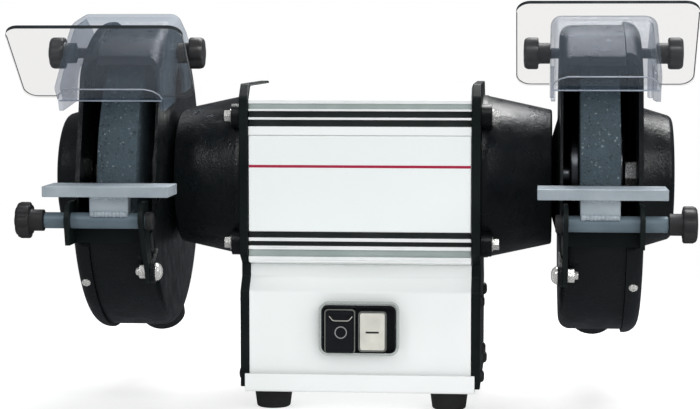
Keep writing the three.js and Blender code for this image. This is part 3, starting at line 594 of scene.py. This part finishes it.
def label():
    low, high = in_mm(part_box("label_plate"))
    outline = fillet([(low.x, low.z), (high.x, low.z), (high.x, high.z), (low.x, high.z)], [1.2] * 4)
    bm = prism(outline, low.y, high.y, "Y")
    plate = new_object("label_panel", bm, Vector())
    show(plate, "machine", LABEL, ["label_plate"], 0.25)


def end_plate(name):
    low, high = in_mm(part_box(f"{name}_end_plate"))
    half = [(61, high.z), (72, 240), (72, 121), (56.5, 111.5), (56.5, 102), (67, 91), (67, low.z)]
    rounding = [3, 4, 3, 1.5, 1.5, 2, 1]
    outline = half + [(-y, z) for y, z in reversed(half)]
    bm = prism(fillet(outline, rounding + rounding[::-1]), low.x, high.x)
    plate = new_object(f"{name}_side_plate", bm, BENCH)
    cut(plate, revolve([(0, low.x - 5), (50, low.x - 5), (50, high.x + 5), (0, high.x + 5)]))
    show(plate, "machine", PLATE, [f"{name}_end_plate"], 0.8, 3)


def dome_screw(name, place, radius, height, side, material, turned=None):
    """A button-head screw with a hexagon socket. Its head stands out along X until it is turned."""
    flat = 0.35 * radius
    dome = [(0, height), (flat, height)]
    dome += [(flat + (radius - flat) * math.sin(a), height * math.cos(a)) for a in (0.5, 0.9, 1.25, 1.5)]
    dome += [(radius, 0), (0, 0)]
    head = revolve(dome, side, 32, turned)
    socket = prism(circle((0, 0), radius * 0.42, 6), *span(side, height * 0.45, height + 1))
    if turned is not None:
        socket.transform(turned)
    origin = SPINDLE + Vector(place) * MM
    screw = new_object(name, head, origin)
    cut(screw, socket, origin=origin)
    show(screw, "machine", material, smooth=40)


def plate_screws(name, side):
    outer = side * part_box("right_end_plate")[1].x / MM
    spots = [(-50, 25), (50, 25), (0, 39.5), (-44, 82), (44, 82)]
    for number, (y, z) in enumerate(spots):
        dome_screw(f"{name}_plate_screw_{number}", (outer, y, z - SPINDLE_HEIGHT), 5, 3, side, KNOB)


# ------------------------------------------------------------------ bells

PAD_Y, PAD_Z, PAD_RADIUS = 50, 49, 9.5
BELL_ROUND = 2


def bell(name, side):
    low, high = in_mm(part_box("right_bell_housing"))
    base, tip = 64, 53
    start, end = low.x, high.x
    profile = [
        (12, end), (tip - BELL_ROUND, end),
        *arc(tip - BELL_ROUND, end - BELL_ROUND, BELL_ROUND, 84, 8),
        (base - 0.8, start + 5), (base, start + 3.5), (base, start), (base - 4, start),
        (tip - 4, end - 7), (tip - 12, end - 5), (12, end - 5),
    ]
    casting = new_object(f"{name}_bell_casting", revolve(profile, side))
    pads = []
    for y in (-PAD_Y, PAD_Y):
        for z in (-PAD_Z, PAD_Z):
            pads.append(prism(circle((y, z), PAD_RADIUS), *span(side, start, start + 7.7)))
    join(casting, *pads)
    hollow = [(0, start - 1), (base - 4, start - 1), (base - 4.2, start), (base - 6, start + 11),
              (0, start + 11)]
    cut(casting, revolve(hollow, side))
    show(casting, "machine", CAST, [f"{name}_bell_housing"], 1.0, 3, 40)


def hex_screw(name, place, side, replaces):
    """A hexagon head on a washer, with its axis along X."""
    origin = SPINDLE + Vector(place) * MM
    washer = revolve([(0, 0), (5.4, 0), (5.6, 0.25), (5.6, 0.9), (5.3, 1.1), (0, 1.1)], side, 40)
    head = new_object(name, washer, origin)
    join(head, prism(circle((0, 0), 4.75, 6), *span(side, 0.9, 5.6)), origin=origin)
    crown = revolve([(0, -1), (9, -1), (9, 2.6), (4.3, 5.6), (0, 5.6)], side, 40)
    combine(head, "INTERSECT", new_object("crown", crown, origin))
    show(head, "machine", ZINC, replaces, 0.18, 2, 25)


def bell_screws(name, side):
    seat = side * 100.3
    for row, z in (("upper", PAD_Z), ("lower", -PAD_Z)):
        hex_screw(f"{name}_front_screw_{row}", (seat, -PAD_Y, z), side, [f"{name}_bell_screw_{row}"])
        hex_screw(f"{name}_back_screw_{row}", (seat, PAD_Y, z), side, [])


# ------------------------------------------------------------------ pedestal, base and feet


def folded(half, thickness, bend):
    """A sheet's closed outline from one half of its outer face, mirrored in Y."""
    outer = half + [(-y, z) for y, z in reversed(half)]
    inner = []
    for i, (y, z) in enumerate(half):
        rise = 0 if i == 0 else thickness / 2
        inner.append((y - thickness, z - (rise if i < len(half) - 1 else thickness)))
    inner = inner + [(-y, z) for y, z in reversed(inner)]
    outer_bends = [0] + [bend] * (len(outer) - 2) + [0]
    inner_bends = [0] + [0.4] * (len(inner) - 2) + [0]
    return fillet(outer + inner[::-1], outer_bends + inner_bends)


def pedestal():
    low, high = in_mm(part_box("pedestal"))
    half = [(67, low.z), (67, 91), (56.5, 102), (56.5, high.z)]
    sheet = new_object("pedestal_sheet", prism(folded(half, 2, 2.6), low.x, high.x), BENCH)
    cut(sheet, block((-27.3, 27.3), (-75, -50), (47.2, 81.8)), origin=BENCH)
    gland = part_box("cable_gland")
    middle = (gland[0] + gland[1]) / 2 / MM
    cut(sheet, prism(circle((middle.x, middle.z), 8.2), 60, 75, "Y"), origin=BENCH)
    show(sheet, "machine", WHITE, ["pedestal"], 0.35, 2, 40)


def base():
    low, high = in_mm(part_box("base_plate"))
    depth = (high.y - low.y) / 2
    outline = [(-depth, low.z), (depth, low.z), (depth, high.z), (depth - 2, high.z),
               (depth - 2, low.z + 2), (2 - depth, low.z + 2), (2 - depth, high.z), (-depth, high.z)]
    channel = prism(fillet(outline, [2.6, 2.6, 0.6, 0.6, 0.8, 0.8, 0.6, 0.6]), low.x, high.x)
    tray = new_object("base_channel", channel, BENCH)
    show(tray, "machine", WHITE, ["base_plate"], 0.35, 2, 40)


def feet():
    upright = Matrix.Rotation(-math.pi / 2, 4, "Y")
    for name in SIDES:
        for row in ("front", "back"):
            low, high = in_mm(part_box(f"{name}_{row}_foot"))
            middle = (low + high) / 2
            top, wide = high.z, (high.y - low.y) / 2
            profile = [(0, 0), (wide - 3, 0), (wide - 1.8, 0.8), (wide - 1.4, 2), (wide - 0.2, top - 2.5),
                       (wide - 0.1, top - 0.8), (wide - 0.8, top), (0, top)]
            rubber = revolve(profile, 1, 64, upright)
            foot = new_object(f"{name}_{row}_rubber_foot", rubber, Vector((middle.x, middle.y, 0)) * MM)
            show(foot, "machine", RUBBER, [f"{name}_{row}_foot"], smooth=50)


def gland():
    low, high = in_mm(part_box("cable_gland"))
    middle = (low + high) / 2
    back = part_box("pedestal")[1].y / MM - low.y
    origin = Vector((middle.x, low.y, middle.z)) * MM
    along = Matrix.Rotation(math.pi / 2, 4, "Z")
    profile = [(4, 0), (7.9, 0), (7.9, back), (9, back + 6), (9, back + 13), (8, back + 15.5), (6, back + 16),
               (4.5, back + 16), (4, back + 15)]
    nut = new_object("gland_body", revolve(profile, 1, 48, along), origin)
    collar = prism(circle((0, 0), 12, 6), back + 0.4, back + 6, "Y")
    ring = new_object("collar", collar, origin)
    combine(nut, "UNION", ring)
    bore = prism(circle((0, 0), 4), -5, 40, "Y")
    cut(nut, bore, origin=origin)
    show(nut, "machine", KNOB, ["cable_gland"], 0.4, 2, 35)


# ------------------------------------------------------------------ switch


def rounded_block(x, y, z, radius):
    outline = fillet([(x[0], z[0]), (x[1], z[0]), (x[1], z[1]), (x[0], z[1])], [radius] * 4)
    return prism(outline, y[0], y[1], "Y")


def framed(x, z, gap, y, radius):
    """A rounded block that stands out from a rectangle by a gap, or in from it by a negative one."""
    return rounded_block((x[0] - gap, x[1] + gap), y, (z[0] - gap, z[1] + gap), radius)


def button_box(name):
    low, high = in_mm(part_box(f"{name}_button"))
    shift = Vector((0, SPINDLE.y / MM, 0))
    return low - shift, high - shift


def switch():
    low, high = in_mm(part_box("switch_housing"))
    shift = SPINDLE.y / MM
    front, wall, rim = low.y - shift, -67.3, 1.9
    x, z = (low.x, high.x), (43.55, 84.05)
    bezel = new_object("switch_bezel", framed(x, z, -rim, (front + 0.6, wall), 4.8), BENCH)
    pocket = rounded_block((low.x + 3.3, high.x - 3.3), (front - 2, -69), (45.9, 80.3), 3.6)
    cut(bezel, pocket, origin=BENCH)
    join(bezel, block((-27, 27), (-68, high.y - shift), (46.8, 80.8)), origin=BENCH)
    show(bezel, "machine", GLOSS, ["switch_housing"], 0.4, 3, 40)
    clear_rim = new_object("switch_clear_rim", framed(x, z, 0, (front, wall), 6.5), BENCH)
    cut(clear_rim, framed(x, z, -(rim + 0.05), (front - 2, wall + 2), 4.8), origin=BENCH)
    show(clear_rim, "machine", RIM, [], 0.4, 3, 40)
    for name in ("stop", "start"):
        first, last = button_box(name)
        x, z = (first.x, last.x), (first.z, last.z)
        collar = new_object(f"{name}_collar", framed(x, z, 1.25, (front + 1.0, -68.9), 2.8), BENCH)
        cut(collar, framed(x, z, 0.4, (front - 3, -69.5), 2.1), origin=BENCH)
        show(collar, "machine", SMOKED, [], 0.2, 2, 40)


def buttons():
    for name, material, slot in (("stop", GLOSS, "black_plastic"), ("start", CREAM, "cream_plastic")):
        low, high = button_box(name)
        middle = (low + high) / 2
        key_block = rounded_block((low.x, high.x), (low.y, high.y), (low.z, high.z), 1.8)
        key = new_object(f"{name}_key", key_block, BENCH)
        mark_y = (low.y - 0.12, low.y + 0.2)
        if name == "stop":
            scoop = [(middle.x - 8.5, high.z - 3), (middle.x + 8.5, high.z - 3), (middle.x + 6, high.z - 7),
                     (middle.x - 6, high.z - 7)]
            thumb = prism(fillet(scoop, [0.5] * 4), low.y - 1, low.y + 1.2, "Y")
            for vert in thumb.verts:
                if vert.co.y > low.y:
                    vert.co.x = middle.x + (vert.co.x - middle.x) * 0.88
                    vert.co.z += 1.2 if vert.co.z < high.z - 5 else -0.4
            cut(key, thumb, origin=BENCH)
        show(key, f"{name}_button", material, [f"{name}_button"], 0.5, 3, 35)
        if name == "stop":
            centre = (middle.x + 0.85, middle.z - 0.75)
            ring = new_object("stop_mark", prism(circle(centre, 4.7), *mark_y, "Y"), BENCH)
            cut(ring, prism(circle(centre, 3.95), -80, -60, "Y"), origin=BENCH)
            show(ring, "stop_button", MARK)
            # The thin pale bead round the thumb scoop is a painted highlight, standing in for light caught on
            # the scoop's lower ledge.
            highlight_points = [(-8.8, 12.3), (-6.5, 9.5), (-5.2, 8.9), (5.2, 8.9), (6.5, 9.5), (8.8, 12.3)]
            path = [(centre[0] + x, low.y, centre[1] + z) for x, z in highlight_points]
            edge = new_object("stop_thumb_painted_highlight", bead(path, 0.26), BENCH)
            show(edge, "stop_button", CREAM, smooth=60)
        else:
            bar = block((middle.x - 5, middle.x + 5), mark_y, (middle.z - 1.2, middle.z + 0.2))
            show(new_object("start_mark", bar, BENCH), "start_button", KNOB)


# ------------------------------------------------------------------ spindle and wheels

WHEEL_X, WHEEL_WIDTH, WHEEL_RADIUS = 181, 30, 100


def shaft():
    end = in_mm(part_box("spindle_shaft"))[1].x
    half = [(0, end), (6.8, end)]
    x = end - 1.2
    while x > end - 24:
        half += [(8, x), (8, x - 0.5), (7.2, x - 1.0), (7.2, x - 1.5)]
        x -= 2
    half += [(8, x), (8, 159.7), (10, 159.5), (10, 60), (12, 59.7), (12, 36)]
    profile = half + [(r, -x) for r, x in reversed(half)]
    spindle = new_object("spindle_bar", revolve(profile, 1, 64))
    show(spindle, "spindle", STEEL, ["spindle_shaft"], smooth=30)


def wheel(name, side):
    start, end = WHEEL_X - WHEEL_WIDTH / 2, WHEEL_X + WHEEL_WIDTH / 2
    profile = [(16.2, start), (98.8, start), (99.7, start + 0.4), (100, start + 1.2), (100, end - 1.2),
               (99.7, end - 0.4), (98.8, end), (16.2, end)]
    stone = new_object(f"{name}_abrasive", revolve(profile, side, 192))
    show(stone, "spindle", GRIT, [f"{name}_wheel"], smooth=50)
    face = start - 0.3
    inner = [(8.3, face - 5.7), (33.8, face - 5.7), (35, face - 4.6), (35, face), (30, face), (29, face - 1),
             (15.8, face - 1), (15.8, end - 1), (8.3, end - 1)]
    flange = new_object(f"{name}_back_flange", revolve(inner, side, 96))
    show(flange, "spindle", STEEL, [f"{name}_inner_flange"], smooth=30)
    face = end + 0.3
    outer = [(8.3, face + 1), (29, face + 1), (30, face), (35, face), (35, face + 3.5), (33, face + 5.7),
             (8.3, face + 5.7)]
    flange = new_object(f"{name}_front_flange", revolve(outer, side, 96))
    show(flange, "spindle", STEEL, [f"{name}_outer_flange"], smooth=30)
    nut_start = face + 5.7 + 0.3
    hexagon = prism(circle((0, 0), 13.85, 6), *span(side, nut_start, nut_start + 12.7))
    nut = new_object(f"{name}_hex_nut", hexagon)
    crown = revolve([(0, nut_start - 1), (12.6, nut_start - 1), (14.4, nut_start + 1.4),
                     (14.4, nut_start + 11.3), (12.2, nut_start + 12.7), (0, nut_start + 12.7)], side, 64)
    combine(nut, "INTERSECT", new_object("crown", crown))
    nut_bore = [(0, nut_start - 5), (8.3, nut_start - 5), (8.3, nut_start + 20), (0, nut_start + 20)]
    cut(nut, revolve(nut_bore, side, 48))
    show(nut, "spindle", ZINC, [f"{name}_spindle_nut"], 0.25, 2, 28)


# ------------------------------------------------------------------ guards

MOUTH_DISTANCE, MOUTH_TILT = 95.3, math.radians(15.2)
PORT_ANGLE = math.radians(51)
LUG = (-107.3, -66.1)
LUG_X, LUG_RADIUS, LUG_HOLE = 150, 8.5, 3.3
STUD_HOLE = 4.3
HOOD_PIVOT = (-35, 97)


def mouth_tool(side):
    bm = block((-100, 100), (-MOUTH_DISTANCE - 100, -MOUTH_DISTANCE), (-200, 200))
    bm.transform(Matrix.Translation((side * WHEEL_X, 0, 0)) @ Matrix.Rotation(-MOUTH_TILT, 4, "X"))
    return bm


def port_tube(side, profile):
    """A profile turned about the dust port's axis, whose distances run from the spindle axis."""
    along = Matrix.Rotation(-PORT_ANGLE, 4, "X") @ Matrix.Rotation(math.pi / 2, 4, "Z")
    return revolve(profile, 1, 64, Matrix.Translation((side * WHEEL_X, 0, 0)) @ along)


def casing(name, side):
    hub, start, rim, outer, corner, wall = 146.4, 151.5, 200, 119, 9, 3.5
    profile = [
        (12, hub), (32, hub), (34, hub + 0.5), (48, start - 0.4), (51, start), (104, start),
        *arc(outer - corner, start + corner, corner, -86, 0, 10),
        (outer, rim), (outer - wall, rim),
        *arc(outer - corner, start + corner, corner - wall, 0, -86, 8),
        (49, start + wall), (32, hub + wall), (12, hub + wall),
    ]
    drum = new_object(f"{name}_guard_drum", revolve(profile, side))
    angle = math.atan2(LUG[1], LUG[0])
    sideways = Vector((-math.sin(angle), math.cos(angle))) * LUG_RADIUS
    root = Vector(LUG) * 0.86
    tip = circle(LUG, LUG_RADIUS, 40)
    arm = [tuple(root + sideways), tuple(Vector(LUG) + sideways), tuple(Vector(LUG) - sideways),
           tuple(root - sideways)]
    lug_x = span(side, LUG_X, LUG_X + 3.2)
    join(drum, prism(arm, *lug_x), prism(tip, *lug_x))
    cut(drum, mouth_tool(side))
    join(drum, port_tube(side, [(0, outer - 3), (18, outer - 3), (18, 160.8), (17.2, 162), (0, 162)]))
    chamber = revolve([(0, start + 2), (outer - wall - 6, start + 2), (outer - wall, start + 8),
                       (outer - wall, rim + 2), (0, rim + 2)], side)
    bore = port_tube(side, [(0, 90), (15, 90), (15, 161), (15.8, 162.5), (0, 162.5)])
    studs = prism(circle(HOOD_PIVOT, STUD_HOLE), *span(side, start - 10, start + 10))
    bolt = prism(circle(LUG, LUG_HOLE), *span(side, start - 10, start + 10))
    cut(drum, bore, studs, bolt, chamber)
    show(drum, "machine", CAST, [f"{name}_guard_casing"], 0.9, 3, 38)


def cover(name, side):
    start, face, outer, corner, wall = 200.3, 213, 121.5, 11, 3.5
    boss_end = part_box("right_guard_cover")[1].x / MM
    profile = [
        (0, boss_end - wall), (43, boss_end - wall), (51.5, face - wall),
        *arc(outer - corner, face - corner, corner - wall, 90, 0, 8),
        (outer - wall, start), (outer, start),
        *arc(outer - corner, face - corner, corner, 0, 90, 12),
        (59, face), (56.2, face + 0.8), (54.6, face + 3), (49.2, boss_end - 5.5),
        *arc(43.4, boss_end - 5.6, 5.6, 10, 90, 6), (0, boss_end),
    ]
    lid = new_object(f"{name}_guard_lid", revolve(profile, side))
    studs = prism(circle(HOOD_PIVOT, STUD_HOLE), *span(side, face - 10, face + 10))
    cut(lid, mouth_tool(side), studs)
    show(lid, "machine", CAST, [f"{name}_guard_cover"], 0.9, 3, 38)
    for number, angle in enumerate((219, 275, 345)):
        turn = Matrix.Rotation(math.radians(angle), 4, "X") @ Matrix.Rotation(math.pi / 2, 4, "Z")
        dome_screw(f"{name}_rim_screw_{number}", (side * 206, 0, 0), 3.4, 1.9, 1, ZINC,
                   turned=turn @ Matrix.Translation((outer - 0.2, 0, 0)))


def lug_bolt(name, side):
    origin = SPINDLE + Vector((0, *LUG)) * MM
    seat = 149.7
    dome = [(0, seat - 4.7), (2.5, seat - 4.6), (4.8, seat - 3.6), (6.3, seat - 1.9), (6.9, seat - 0.2),
            (6.9, seat), (3, seat), (3, 164), (2.4, 165), (0, 165)]
    bolt = new_object(f"{name}_lug_bolt", revolve(dome, side, 40), origin)
    show(bolt, "machine", ZINC, [f"{name}_guard_bolt"], smooth=35)
    start = 157.3
    nut = new_object(f"{name}_lug_nut", prism(circle((0, 0), 5.6, 6), *span(side, start, start + 5)), origin)
    crown = revolve([(0, start - 1), (5.2, start - 1), (5.9, start + 0.6), (5.9, start + 4.2),
                     (4.8, start + 5), (0, start + 5)], side, 48)
    combine(nut, "INTERSECT", new_object("crown", crown, origin))
    cut(nut, prism(circle((0, 0), 3.2), *span(side, start - 2, start + 8)), origin=origin)
    show(nut, "machine", ZINC, [f"{name}_guard_nut"], 0.15, 2, 28)


# ------------------------------------------------------------------ hoods

HOOD_X, HOOD_HALF = 184.3, 40
HOOD_WALL = 3
HOOD_TILT = {"left": math.radians(7), "right": 0.0}


def hood_frame(name):
    """Turns a body drawn with the hood level, about the hood's pivot, to the way it is set."""
    pivot = Matrix.Translation((0, *HOOD_PIVOT))
    return pivot @ Matrix.Rotation(HOOD_TILT[name], 4, "X") @ pivot.inverted()


def domed_prism(outline, low, high, radius, steps=8):
    """A prism along X whose roof and front curve down into its two sides."""
    area = sum(a[0] * b[1] - b[0] * a[1] for a, b in zip(outline, outline[1:] + outline[:1]))
    inward = 1 if area > 0 else -1
    slices = []
    for step in range(steps + 1):
        angle = math.pi / 2 * step / steps
        slices.append((radius * (1 - math.cos(angle)), radius * (1 - math.sin(angle))))
    levels = [(low + depth, inset) for depth, inset in slices]
    levels += [(high - depth, inset) for depth, inset in reversed(slices)]
    bm = bmesh.new()
    rings = []
    for x, inset in levels:
        ring = []
        for i, (y, z) in enumerate(outline):
            ahead = Vector(outline[(i + 1) % len(outline)]) - Vector(outline[i - 1])
            normal = Vector((-ahead.y, ahead.x)).normalized() * inward
            amount = inset * min(1, max(0, (z - 82) / 16)) * (1 if z < 130 else 0)
            shift = normal * amount
            ring.append(bm.verts.new((x, y + (shift.x if y < 20 else 0), z + shift.y)))
        rings.append(ring)
    skin(bm, rings)
    close_ends(bm, rings)
    return bm


def hood_shell(name, side):
    x0, x1 = span(side, HOOD_X - HOOD_HALF, HOOD_X + HOOD_HALF)
    front = [(25, 62), (25, 106), (-15, 126), (-58, 125), (-82, 112), (-118, 81), (-107, 70), (-104, 62)]
    outer = domed_prism(fillet(front, [4, 26, 26, 16, 26, 2.2, 1.5, 2], 10), x0, x1, 8)
    hollow = [(60, 170), (-15, 170), (-15, 123), (-57.3, 122), (-80.4, 109.6), (-113.6, 80.8),
              (-104.9, 72.1), (-107.2, 69.8), (-125, 55), (-125, 30), (60, 30)]
    rounding = [0, 0, 0, 13, 23, 1, 0.5, 0, 0, 0, 0]
    inner = domed_prism(fillet(hollow, rounding, 10), x0 + HOOD_WALL, x1 - HOOD_WALL, 5)
    arch = [(-30 + 23 * math.cos(a), 62 + 25 * math.sin(a)) for a in
            [math.pi * step / 24 for step in range(25)]]
    window = prism([(-53, 40), (-7, 40), *arch], x0 - 5, x1 + 5)
    for bm in (outer, inner, window):
        bm.transform(hood_frame(name))
    stud_hole = prism(circle(HOOD_PIVOT, STUD_HOLE), x0 - 5, x1 + 5)
    shell = new_object(f"{name}_clear_hood", outer)
    cut(shell, inner, window, stud_hole)
    show(shell, f"{name}_hood", CLEAR, [f"{name}_spark_hood"], smooth=40)
    # The fold and lip beads are painted highlights: bright strips standing in for light caught along the
    # hood's bend and lip.
    fold = [(x0 + 0.6, -109.4, 72.2), (x0 + 2, -113, 75.8), (x0 + 6, -116, 78.8), (x0 + 12, -117.3, 80.4)]
    fold += [(x0 + x1 - x, y, z) for x, y, z in reversed(fold)]
    lip = [(x0 + 1, -106.9, 70.3), (x1 - 1, -106.9, 70.3)]
    for part, path in (("fold", fold), ("lip", lip)):
        bm = bead(path, 0.55)
        bm.transform(hood_frame(name))
        line = new_object(f"{name}_hood_{part}_bead", bm)
        show(line, f"{name}_hood", GLINT, smooth=60)


def pane(name, side):
    """The flat eye shield, leaning out from the hood's front flange."""
    width, height, thickness, corner = 128.5, 83, 3, 10
    centre = (side * 182.8, -142.6, 105.2)
    w, h = width / 2, height / 2
    outline = fillet([(-w, -h), (w, -h), (w, h), (-w, h)], [corner] * 4, 10)
    sheet = prism(outline, 0, thickness, "Z")
    sheet.normal_update()
    # The sheet's top edge faces take the dark edge material: painted shade for the dark look of a clear
    # sheet's edge.
    for face in sheet.faces:
        face.material_index = 1 if face.normal.y > 0.05 else 0
    lean = Matrix.Rotation(math.radians(135), 4, "X")
    place = hood_frame(name) @ Matrix.Translation(centre) @ lean
    sheet.transform(place)
    glass = new_object(f"{name}_clear_shield", sheet)
    show(glass, f"{name}_hood", [PANE, EDGE_SHADE], [f"{name}_eye_shield"], smooth=30)
    # Thin dark beads run up each side and along the lower edge, stopping HOOD_HALF from the middle: painted
    # shade for the clear edges.
    turn = arc(w - 0.5 - corner, 0.5 + corner - h, corner, 0, -90, 10)
    rim = [(w - 0.5, h - corner), *turn, (HOOD_HALF, 0.5 - h)]
    for end, hand in SIDES.items():
        line = bead([(hand * x, y, thickness / 2) for x, y in rim], 0.36)
        line.transform(place)
        edge_shade_line = new_object(f"{name}_shield_{end}_outline", line)
        show(edge_shade_line, f"{name}_hood", EDGE_SHADE, smooth=60)


def star_knob(name, direction, face, centre, neck, head, node, lobes=6):
    """A lobed star knob along X. Neck and head are (radius, length); node is also its body's name."""
    steps = 96
    neck_r, neck_l = neck
    head_r, head_l = head
    depth = 0.13
    rings = [
        (neck_r * 0.8, 0, 0), (neck_r, 0.4, 0), (neck_r, neck_l - 0.8, 0), (neck_r + 0.6, neck_l, 0),
        (head_r - 1.1, neck_l + 0.1, 0.9), (head_r - 0.2, neck_l + 0.8, 1), (head_r, neck_l + 1.8, 1),
        (head_r, neck_l + head_l - 3.6, 1), (head_r - 1.0, neck_l + head_l - 1.4, 0.9),
        (head_r - 2.6, neck_l + head_l - 0.5, 0.6), (head_r * 0.5, neck_l + head_l - 0.15, 0.1),
    ]
    bm = bmesh.new()
    loops = []
    for radius, x, lobed in rings:
        loop = []
        for angle in full_turn(steps):
            wave = 0.5 - 0.5 * math.cos(lobes * angle)
            r = radius * (1 - depth * lobed * wave ** 2)
            loop.append(bm.verts.new((direction * (face + x), r * math.cos(angle), r * math.sin(angle))))
        loops.append(loop)
    skin(bm, loops)
    tip = bm.verts.new((direction * (face + neck_l + head_l), 0, 0))
    root = bm.verts.new((direction * face, 0, 0))
    for step in range(steps):
        after = (step + 1) % steps
        bm.faces.new([loops[-1][step], loops[-1][after], tip])
        bm.faces.new([loops[0][after], loops[0][step], root])
    knob = new_object(name, bm, SPINDLE + Vector((0, *centre)) * MM)
    show(knob, node, KNOB, [node], smooth=45)


def stud(name, x, centre, radius, body):
    rod = new_object(name, prism(circle((0, 0), radius, 32), *x), SPINDLE + Vector((0, *centre)) * MM)
    show(rod, body, KNOB)


def hood_knobs(name, side):
    neck, head = (8, 9), (13, 11.5)
    inner_face, outer_face = HOOD_X - HOOD_HALF - 0.3, HOOD_X + HOOD_HALF + 0.3
    star_knob(f"{name}_inner_star_knob", -side, -inner_face, HOOD_PIVOT, neck, head,
              f"{name}_hood_inner_knob")
    star_knob(f"{name}_outer_star_knob", side, outer_face, HOOD_PIVOT, neck, head,
              f"{name}_hood_outer_knob")
    stud(f"{name}_inner_stud", span(side, inner_face - 1, 153), HOOD_PIVOT, 4, f"{name}_hood_inner_knob")
    stud(f"{name}_outer_stud", span(side, 210, outer_face + 1), HOOD_PIVOT, 4, f"{name}_hood_outer_knob")


# ------------------------------------------------------------------ tool rests

BAR = (-130, -26)
REST_X = 181.5


def weld_bead(x0, x1, centre, radius, seed):
    """A rippled bead of weld along X, with its middle line at a point of the Y-Z plane."""
    bm = bmesh.new()
    steps = max(12, int((x1 - x0) / 0.45))
    around = 14
    loops = []
    for step in range(steps + 1):
        x = x0 + (x1 - x0) * step / steps
        ripple = abs(math.sin(x * 1.15 + 0.6 * noise.noise(Vector((x * 0.3, seed, 0)))))
        swell = radius * (0.78 + 0.3 * ripple + 0.35 * noise.noise(Vector((x * 0.22, seed, 3.1))))
        if step in (0, steps):
            swell *= 0.4
        loop = []
        for angle in full_turn(around):
            spot = Vector((x * 0.8, math.cos(angle) * 1.5 + seed, math.sin(angle) * 1.5))
            rough = 1 + 0.16 * noise.noise(spot)
            r = swell * rough
            loop.append(bm.verts.new((x, centre[0] + r * math.cos(angle), centre[1] + r * math.sin(angle))))
        loops.append(loop)
    skin(bm, loops)
    close_ends(bm, loops)
    return bm


def tool_rest(name, side):
    x = span(side, REST_X - 47, REST_X + 47)
    front, back = -142, -102.5
    plate = new_object(f"{name}_rest_plate", block(x, (front, back), (-8, 0)))
    show(plate, f"{name}_rest", REST_STEEL, [f"{name}_tool_rest"], 0.7, 3)
    block_x = span(side, 165.5, 194.5)
    web = new_object(f"{name}_rest_web", block(block_x, (BAR[0] - 5.5, BAR[0] + 6), (BAR[1] + 3, -8)))
    show(web, f"{name}_rest", REST_STEEL, [], 0.8, 3)
    ends = [152.5, 229]
    bar = revolve([(0, ends[0]), (6, ends[0]), (6, ends[1] - 0.8), (5.4, ends[1]), (0, ends[1])], side, 64)
    rod = new_object(f"{name}_rest_bar", bar, SPINDLE + Vector((0, *BAR)) * MM)
    show(rod, f"{name}_rest", BAR_STEEL)
    cap = revolve([(0, 147.6), (5.6, 147.6), (6.6, 148.3), (6.8, 152.9), (6, 153.1), (0, 153.1)], side, 48)
    cap = new_object(f"{name}_rest_bar_cap", cap, SPINDLE + Vector((0, *BAR)) * MM)
    show(cap, f"{name}_rest", KNOB)
    welds = [(BAR[0] - 5.6, BAR[1] + 5.2, 2.0), (BAR[0] + 5.8, BAR[1] + 5.0, 2.0),
             (BAR[0] - 5.4, -8.2, 1.7), (BAR[0] + 6.0, -8.2, 1.7)]
    for number, (y, z, radius) in enumerate(welds):
        seam = weld_bead(block_x[0] + 0.4, block_x[1] - 0.4, (y, z), radius, 5.3 * number + side)
        show(new_object(f"{name}_rest_weld_{number}", seam), f"{name}_rest", REST_STEEL)
    star_knob(f"{name}_rest_star_knob", side, 229.3, BAR, (8, 9.7), (13.5, 11),
              f"{name}_rest_knob", lobes=8)
    stud(f"{name}_rest_stud", span(side, 219, 230), BAR, 3.4, f"{name}_rest_knob")


def bracket(name, side):
    ear_top = [(BAR[0] + 14 * math.cos(a), BAR[1] + 14 * math.sin(a)) for a in
               [math.pi / 2 + math.pi / 2 * step / 12 for step in range(13)]]
    lug = [(LUG[0] + LUG_RADIUS * math.cos(a), LUG[1] + LUG_RADIUS * math.sin(a)) for a in
           [math.pi + math.pi * step / 20 for step in range(21)]]
    inner = ear_top + lug + [(LUG[0] + LUG_RADIUS, -44), (-112, -44), (-112, -12)]
    outer = ear_top + [(-139, -44), (-112, -44), (-112, -12)]
    plate = new_object(f"{name}_rest_bracket_sheet", prism(inner, *span(side, 153.5, 157)))
    cut(plate, prism(circle((0, 0), 119.6, 160), *span(side, 150, 160)))
    strap = block(span(side, 153.5, 212), (-115.5, -112), (-44, -24))
    join(plate, prism(outer, *span(side, 208.5, 212)), strap)
    bar_hole = prism(circle(BAR, 6.35), *span(side, 150, 215))
    cut(plate, bar_hole, prism(circle(LUG, LUG_HOLE), *span(side, 150, 160)))
    show(plate, "machine", PLATE, [f"{name}_rest_bracket"], 0.6, 3, 38)


# ------------------------------------------------------------------ inner pieces


def inner_pieces():
    """CAD pieces that stay as they are and only get their finish."""
    finishes = {"stator_core": CORE, "rotor_core": CORE, "capacitor": GREY, "terminal_block": CREAM}
    for name in SIDES:
        finishes[f"{name}_coil_end"] = COPPER
        finishes[f"{name}_bearing"] = STEEL
    for node, material in finishes.items():
        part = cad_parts[node]
        part.data.materials.clear()
        part.data.materials.append(material)


add_camera()
add_world()
add_floor()
add_softbox("top_box", (0.25, 0.55, 1.3), (1.2, 0.8), 30)
add_softbox("left_window", (-1.1, -1.4, 1.3), (0.35, 0.6), 6)
add_softbox("right_strip", (1.6, -0.9, 0.9), (0.25, 0.9), 4)
add_softbox("high_strip", (0.1, -1.5, 1.9), (0.9, 0.08), 5)
add_softbox("front_fill", (1.1, -2.4, 1.0), (2.0, 1.6), 30, glossy=False)
add_softbox("back_fill", (-0.6, 2.6, 1.4), (2.4, 1.6), 20, glossy=False)

housing()
label()
pedestal()
base()
feet()
gland()
switch()
buttons()
shaft()
inner_pieces()
for end_name, end_side in SIDES.items():
    end_plate(end_name)
    plate_screws(end_name, end_side)
    bell(end_name, end_side)
    bell_screws(end_name, end_side)
    wheel(end_name, end_side)
    casing(end_name, end_side)
    cover(end_name, end_side)
    lug_bolt(end_name, end_side)
    hood_shell(end_name, end_side)
    pane(end_name, end_side)
    hood_knobs(end_name, end_side)
    tool_rest(end_name, end_side)
    bracket(end_name, end_side)

bpy.context.scene.view_settings.view_transform = "Standard"
